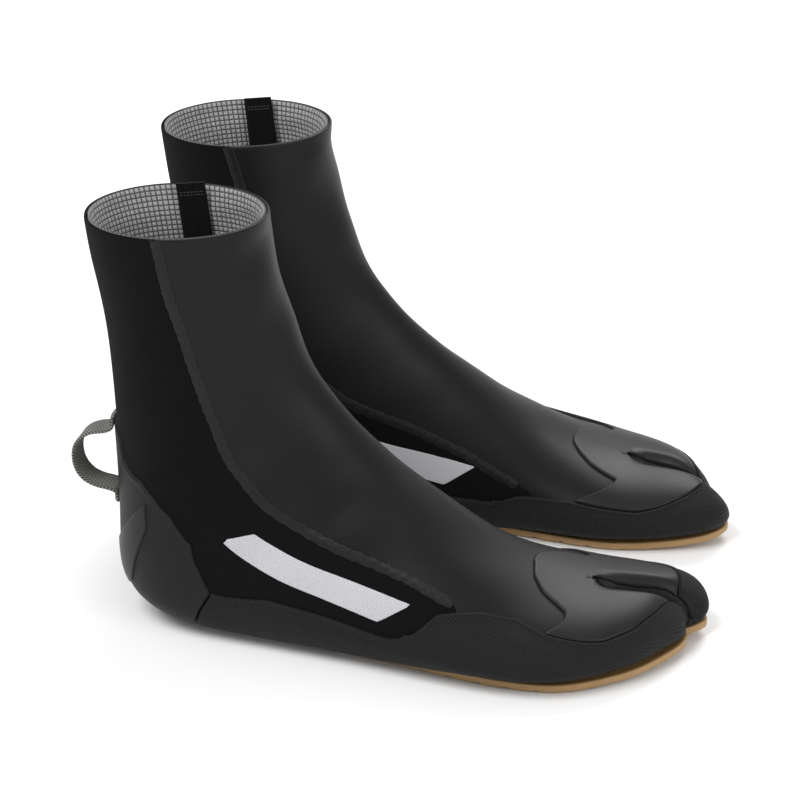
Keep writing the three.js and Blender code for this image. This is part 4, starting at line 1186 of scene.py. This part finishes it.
for name, sign in (("outer", -1), ("inner", 1)):
    ts, vs = np.linspace(0, 1, 60), np.linspace(-1, 1, 20)
    outline = [dense(*bar_marks(sign, ts, v)[:2]) for v in (-1, 1)]
    outline += [dense(*bar_marks(sign, t, vs)[:2]) for t in (0, 1)]
    spread = bar_marks(sign, ts, 0)[2]

    def in_bar(s, degrees, u):
        t, v = (s - BAR_START) / BAR_SPAN, 0.0
        for _ in range(4):
            v = (degrees * sign - BAR_ANGLE) / np.interp(t, ts, spread)
            t = (s - BAR_START - np.clip(v, -1.2, 1.2) * BAR_SLANT) / BAR_SPAN
        return (t > 0) & (t < 1) & (np.abs(v) < 1) & (degrees * sign > 0)

    bar = patch(in_bar, outline, [0.15, 0.4])
    bar.fields["across"] = bar.fields["from_sole"]
    word = "lateral" if sign < 0 else "medial"
    both_boots(name + "_side_bar", closed_sheet(
        bar, SEAT, SEAT + rolled(bar.fields["d"], 0.35, 0.4)), bar_film.material,
        ["flash_" + word])

# %% [markdown]
# ## Gum outsole
#
# The outsole is a thin moulded sheet of gum rubber with cross grooves under the ball and the
# heel. It is a flat grid cut along the foot's outline, with its edge and its grooves made by
# heights: the bottom of each groove is a place where the underside is lower. A boolean cutter
# could do the same, but heights give every groove sloping walls, as a mould does.
# %% Outline of the outsole
LAST_LENGTH = 275.0
NOTCH = (273.5, 11.6)  # where the toe slit notches the outsole
BEYOND = 2.0  # how far the outsole reaches outside the last


def toe_spring(x):
    return 3.6 * np.clip((x - 0.78 * LAST_LENGTH) / (0.23 * LAST_LENGTH), 0, 1.1) ** 2


tuck = smooth_line([[0, 118], [3, 122], [5, 128], [6.5, 138], [8, 150], [9.5, 160], [10.1, 166]])


def sole_outline():
    """The outline seen from above. From the ball back it tucks in under the rubber rand."""
    rails = []
    for sign in (-1, 1):
        s = np.concatenate([np.linspace(0.0, 4, 120), np.linspace(4, 10.1, 220)])
        reach = BEYOND - 2.2 * np.clip((s - 4) / 4, 0, 1)
        rail = skin(s, u_of(s, sign * tuck(s)), reach)
        a = np.linspace(166, 180, 40)
        heel = skin(np.full(40, 10.1), u_of(np.full(40, 10.1), sign * a), BEYOND - 2.2)
        rails.append(np.concatenate([rail, heel]))
    loop = np.concatenate([rails[0], rails[1][::-1]])[:, :2]
    return np.vstack([loop, NOTCH])


ring = sole_outline()
ring = np.vstack([ring, ring[:1]])
outline = resample(ring, np.arange(0, lengths(ring)[-1], 0.5))
kernel = np.hanning(9) / np.hanning(9).sum()
outline = np.stack([np.convolve(np.concatenate([outline[-4:, k], outline[:, k], outline[:4, k]]),
                                kernel, mode="valid") for k in (0, 1)], 1)
print("outsole:", round(float(np.ptp(outline[:, 0])), 1), "by",
      round(float(np.ptp(outline[:, 1])), 1), "mm")


def within(points, ring):
    """Which points lie inside a closed ring, by counting crossings."""
    inside = np.zeros(len(points), bool)
    ends = np.roll(ring, -1, axis=0)
    for (x0, y0), (x1, y1) in zip(ring, ends):
        if y0 == y1:
            continue
        crosses = (y0 > points[:, 1]) != (y1 > points[:, 1])
        x = x0 + (points[:, 1] - y0) * (x1 - x0) / (y1 - y0)
        inside ^= crosses & (points[:, 0] < x)
    return inside


# %% Outsole mesh
GROOVE, GROOVE_DEPTH, SOLE_TOP, SOLE_EDGE_ROUND = 2.2, 1.1, 3.75, 0.8
groove_at = np.array([k * LAST_LENGTH + 6 for k in (0.09, 0.14, 0.19, 0.24, 0.56, 0.61, 0.66,
                                                    0.71, 0.76)])
xs = np.arange(outline[:, 0].min() - 2, outline[:, 0].max() + 2, 1.6)
ys = np.arange(outline[:, 1].min() - 2, outline[:, 1].max() + 2, 1.6)
gy, gx = np.meshgrid(ys, xs, indexing="ij")
plan = Sheet(np.stack([gx, gy, 0 * gx], -1), s=gx, u=gy)
inside = within(plan.place[:, :2], outline)
far = distance_to([np.column_stack([outline, np.zeros(len(outline))])], plan,
                  np.ones(len(inside), bool))
plan.fields["d"] = np.where(inside, far, -far)
plan.split("d", 0.0)
plan.keep(plan.fields["d"][plan.tris].mean(1) > 0)
for level in (0.12, 0.35, 0.8, 1.5):
    plan.split("d", level)
for x in groove_at:
    for side in (-1, 1):
        plan.split("s", x + side * (GROOVE / 2 + 0.25))
        plan.split("s", x + side * (GROOVE / 2 - 0.25))
used, tris = np.unique(plan.tris, return_inverse=True)
tris = tris.reshape(-1, 3)
f = {k: v[used] for k, v in plan.fields.items()}
d = np.maximum(f["d"], 0)
x, y = f["s"], f["u"]
rise = toe_spring(x)
off = np.abs(x[:, None] - groove_at).min(1)
cut_in = np.clip((GROOVE / 2 + 0.25 - off) / 0.5, 0, 1) * GROOVE_DEPTH
arc = 1 - np.sqrt(np.clip(1 - (1 - np.clip(d / SOLE_EDGE_ROUND, 0, 1)) ** 2, 0, 1))
low_edge, top_edge = SOLE_EDGE_ROUND * arc, 0.5 * arc
bottom = np.stack([x, y, rise + np.maximum(low_edge, cut_in)], 1)
top = np.stack([x, y, rise + SOLE_TOP - top_edge - 0.5 * np.clip((d - 2.2) / 1.0, 0, 1)], 1)
faces = shell(tris, len(used))
points = np.concatenate([top, bottom])
uvs = points[faces][..., :2]
both_boots("gum_outsole", (points, faces, uvs, np.concatenate([d, d])), gum_rubber.material,
           ["outsole"], sharp=35)

# %% [markdown]
# ## Webbing
#
# The heel's pull loop and the tab inside the cuff are woven tape. A tape is a flat strip with
# two thick selvedges, bent along a path: it stays flat across its width, so a plain strip of
# quads along a curve is the honest shape, and it needs no cloth simulation.
# %% Tape maker
def tape(path, across, outward, width, thick, columns=16):
    """A closed strip along a path. across and outward are unit vectors at each path point."""
    path, across, outward = (np.asarray(v, float) for v in (path, across, outward))
    n = len(path)
    length = lengths(path)
    v = np.linspace(-1, 1, columns + 1)
    v = np.sign(v) * (1 - (1 - np.abs(v)) ** 1.4)
    # thinner at the very edge, a little thicker just inside it
    profile = np.sqrt(np.clip(1 - np.abs(v) ** 14, 0.04, 1)) + 0.12 * np.exp(
        -((np.abs(v) - 0.86) / 0.08) ** 2)
    points, uv = [], []
    for face in (1, -1):
        for i in range(n):
            for k in range(columns + 1):
                points.append(path[i] + across[i] * v[k] * width / 2
                              + outward[i] * (face * thick / 2 * profile[k]))
                uv.append((v[k] * width / 2, length[i]))
    points, uv = np.array(points), np.array(uv)
    a = np.arange(n * (columns + 1)).reshape(n, -1)
    p, q, r, t = (v.ravel() for v in (a[:-1, :-1], a[1:, :-1], a[1:, 1:], a[:-1, 1:]))
    faces = shell(np.concatenate([np.stack([p, q, r], 1), np.stack([p, r, t], 1)]), a.size)
    volume = np.einsum("ij,ij->", points[faces[:, 0]],
                       np.cross(points[faces[:, 1]], points[faces[:, 2]]))
    if volume < 0:
        faces = faces[:, ::-1]
    return points, faces, uv[faces], np.full(len(points), FAR)


def smooth_path(marks, count):
    """A curve near the marks, made by cutting the corners again and again."""
    p = np.array(marks, float)
    for _ in range(4):
        a, b = p[:-1], p[1:]
        mid = np.stack([a * 0.75 + b * 0.25, a * 0.25 + b * 0.75], 1).reshape(-1, p.shape[1])
        p = np.vstack([p[:1], mid, p[-1:]])
    return resample(p, np.linspace(0, lengths(p)[-1], count))


# %% Heel pull loop
LOOP_WIDTH, LOOP_THICK, LOOP_REACH, LOOP_TOP, LOOP_LOW = 15.0, 1.6, 19.0, 97.0, 62.0
heel_s = np.linspace(10.9, 13.2, 200)
heel_line = skin(heel_s, np.full(200, 2.0), COUNTER + 0.2)


def heel_x(z):
    return float(np.interp(z, heel_line[:, 2], heel_line[:, 0]))


seat = LOOP_THICK / 2 + 0.15
HEEL_ROUND = 49  # twice the heel's radius, seen from above
marks = [(heel_x(LOOP_TOP + 4.5) - seat, LOOP_TOP + 4.5),
         (heel_x(LOOP_TOP + 2) - seat, LOOP_TOP + 2),
         (heel_x(LOOP_TOP - 3) - seat - 0.8, LOOP_TOP - 3),
         (heel_x(LOOP_TOP) - 0.70 * LOOP_REACH, LOOP_TOP - 4.5),
         (heel_x(LOOP_TOP) - LOOP_REACH - 1.8, LOOP_TOP - 12),
         (heel_x(LOOP_TOP) - LOOP_REACH - 1.8, LOOP_TOP - 24),
         (heel_x(LOOP_TOP) - 0.74 * LOOP_REACH, LOOP_LOW + 3.2),
         (heel_x(LOOP_LOW + 4) - seat - 1.6, LOOP_LOW + 1.5),
         (heel_x(LOOP_LOW - 1) - seat, LOOP_LOW - 1),
         (heel_x(LOOP_LOW - 4.5) - seat, LOOP_LOW - 4.5)]
flat = smooth_path(marks, 90)
path = np.stack([flat[:, 0], np.zeros(90), flat[:, 1]], 1)
tangent = np.gradient(path, axis=0)
tangent /= np.linalg.norm(tangent, axis=1, keepdims=True)
across = np.tile([0.0, 1.0, 0.0], (90, 1))
outward = np.cross(tangent, across)
points, faces, uvs, edge = tape(path, across, outward, LOOP_WIDTH, LOOP_THICK)
# where the tape is sewn down, its two sides bend forward round the curved heel
sewn = np.clip(np.maximum(points[:, 2] - LOOP_TOP + 5, LOOP_LOW + 5 - points[:, 2]) / 4, 0, 1)
points[:, 0] += sewn * points[:, 1] ** 2 / HEEL_ROUND
both_boots("loop_webbing", (points, faces, uvs, edge),
           grey_webbing.material, ["heel_loop"])

# %% Stitches that hold the loop
for label, z0, node in (("loop_bartack_top", LOOP_TOP + 1.4, "loop_tack_top"),
                        ("loop_bartack_low", LOOP_LOW - 2.2, "loop_tack_low")):
    rows = []
    for k in range(3):
        z = z0 + (k - 1) * 1.0
        for y in np.arange(-6.3, 6.4, 1.4):
            t = np.linspace(0, 1, 5)
            x = heel_x(z) - 2 * seat - 0.05
            wide = y + (t - 0.5) * 1.5
            rows.append(np.stack([x - 0.12 * np.sin(t * math.pi) + wide ** 2 / HEEL_ROUND, wide,
                                  z + (t - 0.5) * 0.9 * (-1) ** k], 1))
    both_boots(label, threads(rows, 0.2), black_thread.material, [node])

# %% [markdown]
# ## The tab inside the cuff
#
# The tab is sewn under the rim and its free end swings up when it is pulled.
# %% Inner tab
TAB_WIDTH, TAB_THICK, TAB_DROP, TAB_STITCH = 14.0, 1.3, 34.0, 7.0
joints = {j["name"]: j for j in frame["joints"]}
for boot in ("right", "left"):
    joint = joints[boot + "_tab_hinge"]
    hinge, axis = np.array(joint["pos_m"]), np.array(joint["axis"])
    low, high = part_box(boot + "_inner_tab")
    anchor_low, anchor_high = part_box(boot + "_tab_anchor")
    centre = (np.array(low) + np.array(high)) / 2
    top_point = (np.array(anchor_low) + np.array(anchor_high)) / 2
    down = centre - top_point
    down /= np.linalg.norm(down)
    across_dir = axis / np.linalg.norm(axis)
    down -= across_dir * (down @ across_dir)
    down /= np.linalg.norm(down)
    outward_dir = np.cross(across_dir, down)
    if outward_dir[1] < 0:
        outward_dir = -outward_dir  # both tabs hang on the +Y wall of their cuff
    t = np.linspace(-(TAB_STITCH + 2.4), TAB_DROP, 70)[:, None] * MM
    base = hinge + outward_dir * TAB_THICK / 2 * MM
    swell = 0.5 * np.sin(np.clip((t / MM - 2) / (TAB_DROP - 2), 0, 1) * math.pi) * MM
    path = base + down * t - outward_dir * swell
    tabs = tape(path / MM, np.tile(across_dir, (70, 1)), np.tile(outward_dir, (70, 1)),
                TAB_WIDTH, TAB_THICK)
    points, faces, uvs, edge = tabs
    piece = mesh_object(boot + "_tab_webbing", points * MM, faces, uvs, black_webbing.material,
                        edge, 50)
    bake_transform(piece)
    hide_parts(boot + "_inner_tab", boot + "_tab_anchor")
    rows = []
    for row in (-5.0, -3.6):
        for y in np.arange(-5.0, 5.1, 1.65):
            q = np.linspace(-0.62, 0.62, 5)[:, None]
            face_out = hinge / MM - outward_dir * (0.06 + 0.08 * np.cos(q * 2.4))
            rows.append(face_out + down * row + across_dir * (y + q))
    points, faces, uvs, edge = threads(rows, 0.17)
    piece = mesh_object(boot + "_tab_stitches", points * MM, faces, uvs, pale_thread.material,
                        edge, 180)
    dress(piece, boot + "_boot", [boot + "_tab_stitch"])
print("tabs made")

# %% [markdown]
# ## Floor, light and camera
#
# A product picture has a plain pale floor that runs into the background, one large soft light
# above and to the left, and weaker ones that open the shadows. Big lights make the broad soft
# highlights that tell smooth neoprene from knitted cloth.
# %% Floor and world
floor_mesh = bpy.data.meshes.new("studio_floor")
floor_mesh.from_pydata([(-6, -6, 0), (6, -6, 0), (6, 6, 0), (-6, 6, 0)], [], [(0, 1, 2, 3)])
floor = bpy.data.objects.new("studio_floor", floor_mesh)
floor.location.z = -0.0005
bpy.context.scene.collection.objects.link(floor)
paper = Finish("floor_paper", (246, 246, 246), 0.9, 0.1)
paper.grained(0.02)
floor_mesh.materials.append(paper.material)
world = bpy.data.worlds.new("studio")
bpy.context.scene.world = world
world.use_nodes = True
world.node_tree.nodes["Background"].inputs["Color"].default_value = (1.0, 1.0, 1.0, 1.0)
world.node_tree.nodes["Background"].inputs["Strength"].default_value = 0.5
bpy.context.scene.view_settings.view_transform = "Standard"


# %% Lights
def soft_box(name, place, aim, size, power):
    light = bpy.data.lights.new(name, "AREA")
    light.shape, light.size, light.energy = "DISK", size, power
    lamp = bpy.data.objects.new(name, light)
    lamp.location = place
    lamp.rotation_euler = (Vector(aim) - Vector(place)).to_track_quat("-Z", "Y").to_euler()
    bpy.context.scene.collection.objects.link(lamp)
    return lamp


soft_box("key", (-0.7, -0.9, 1.7), (0, 0, 0.08), 1.1, 27)
soft_box("fill", (1.5, -1.0, 0.9), (0, 0, 0.08), 1.2, 12)
soft_box("back", (0.3, 1.5, 1.5), (0, 0, 0.1), 1.2, 24)

# %% Camera
# the camera looks down from in front of the outer side of the right boot, from far away
look_at = Vector((-0.0048, -0.00983, 0.09176))
turn, tilt, roll, away = (math.radians(12.84), math.radians(24.44), math.radians(-0.687), 1.2989)
back = Vector((math.sin(turn) * math.cos(tilt), -math.cos(turn) * math.cos(tilt), math.sin(tilt)))
level = Vector((math.cos(turn), math.sin(turn), 0))
rising = back.cross(level)
right_dir = level * math.cos(roll) + rising * math.sin(roll)
up_dir = rising * math.cos(roll) - level * math.sin(roll)
camera_data = bpy.data.cameras.new("camera")
camera_data.lens, camera_data.sensor_width = 120.4, 36.0
camera_data.clip_end = 50
camera = bpy.data.objects.new("camera", camera_data)
camera.matrix_world = Matrix.Translation(look_at + back * away) @ Matrix(
    (right_dir, up_dir, back)).transposed().to_4x4()
bpy.context.scene.collection.objects.link(camera)
bpy.context.scene.camera = camera
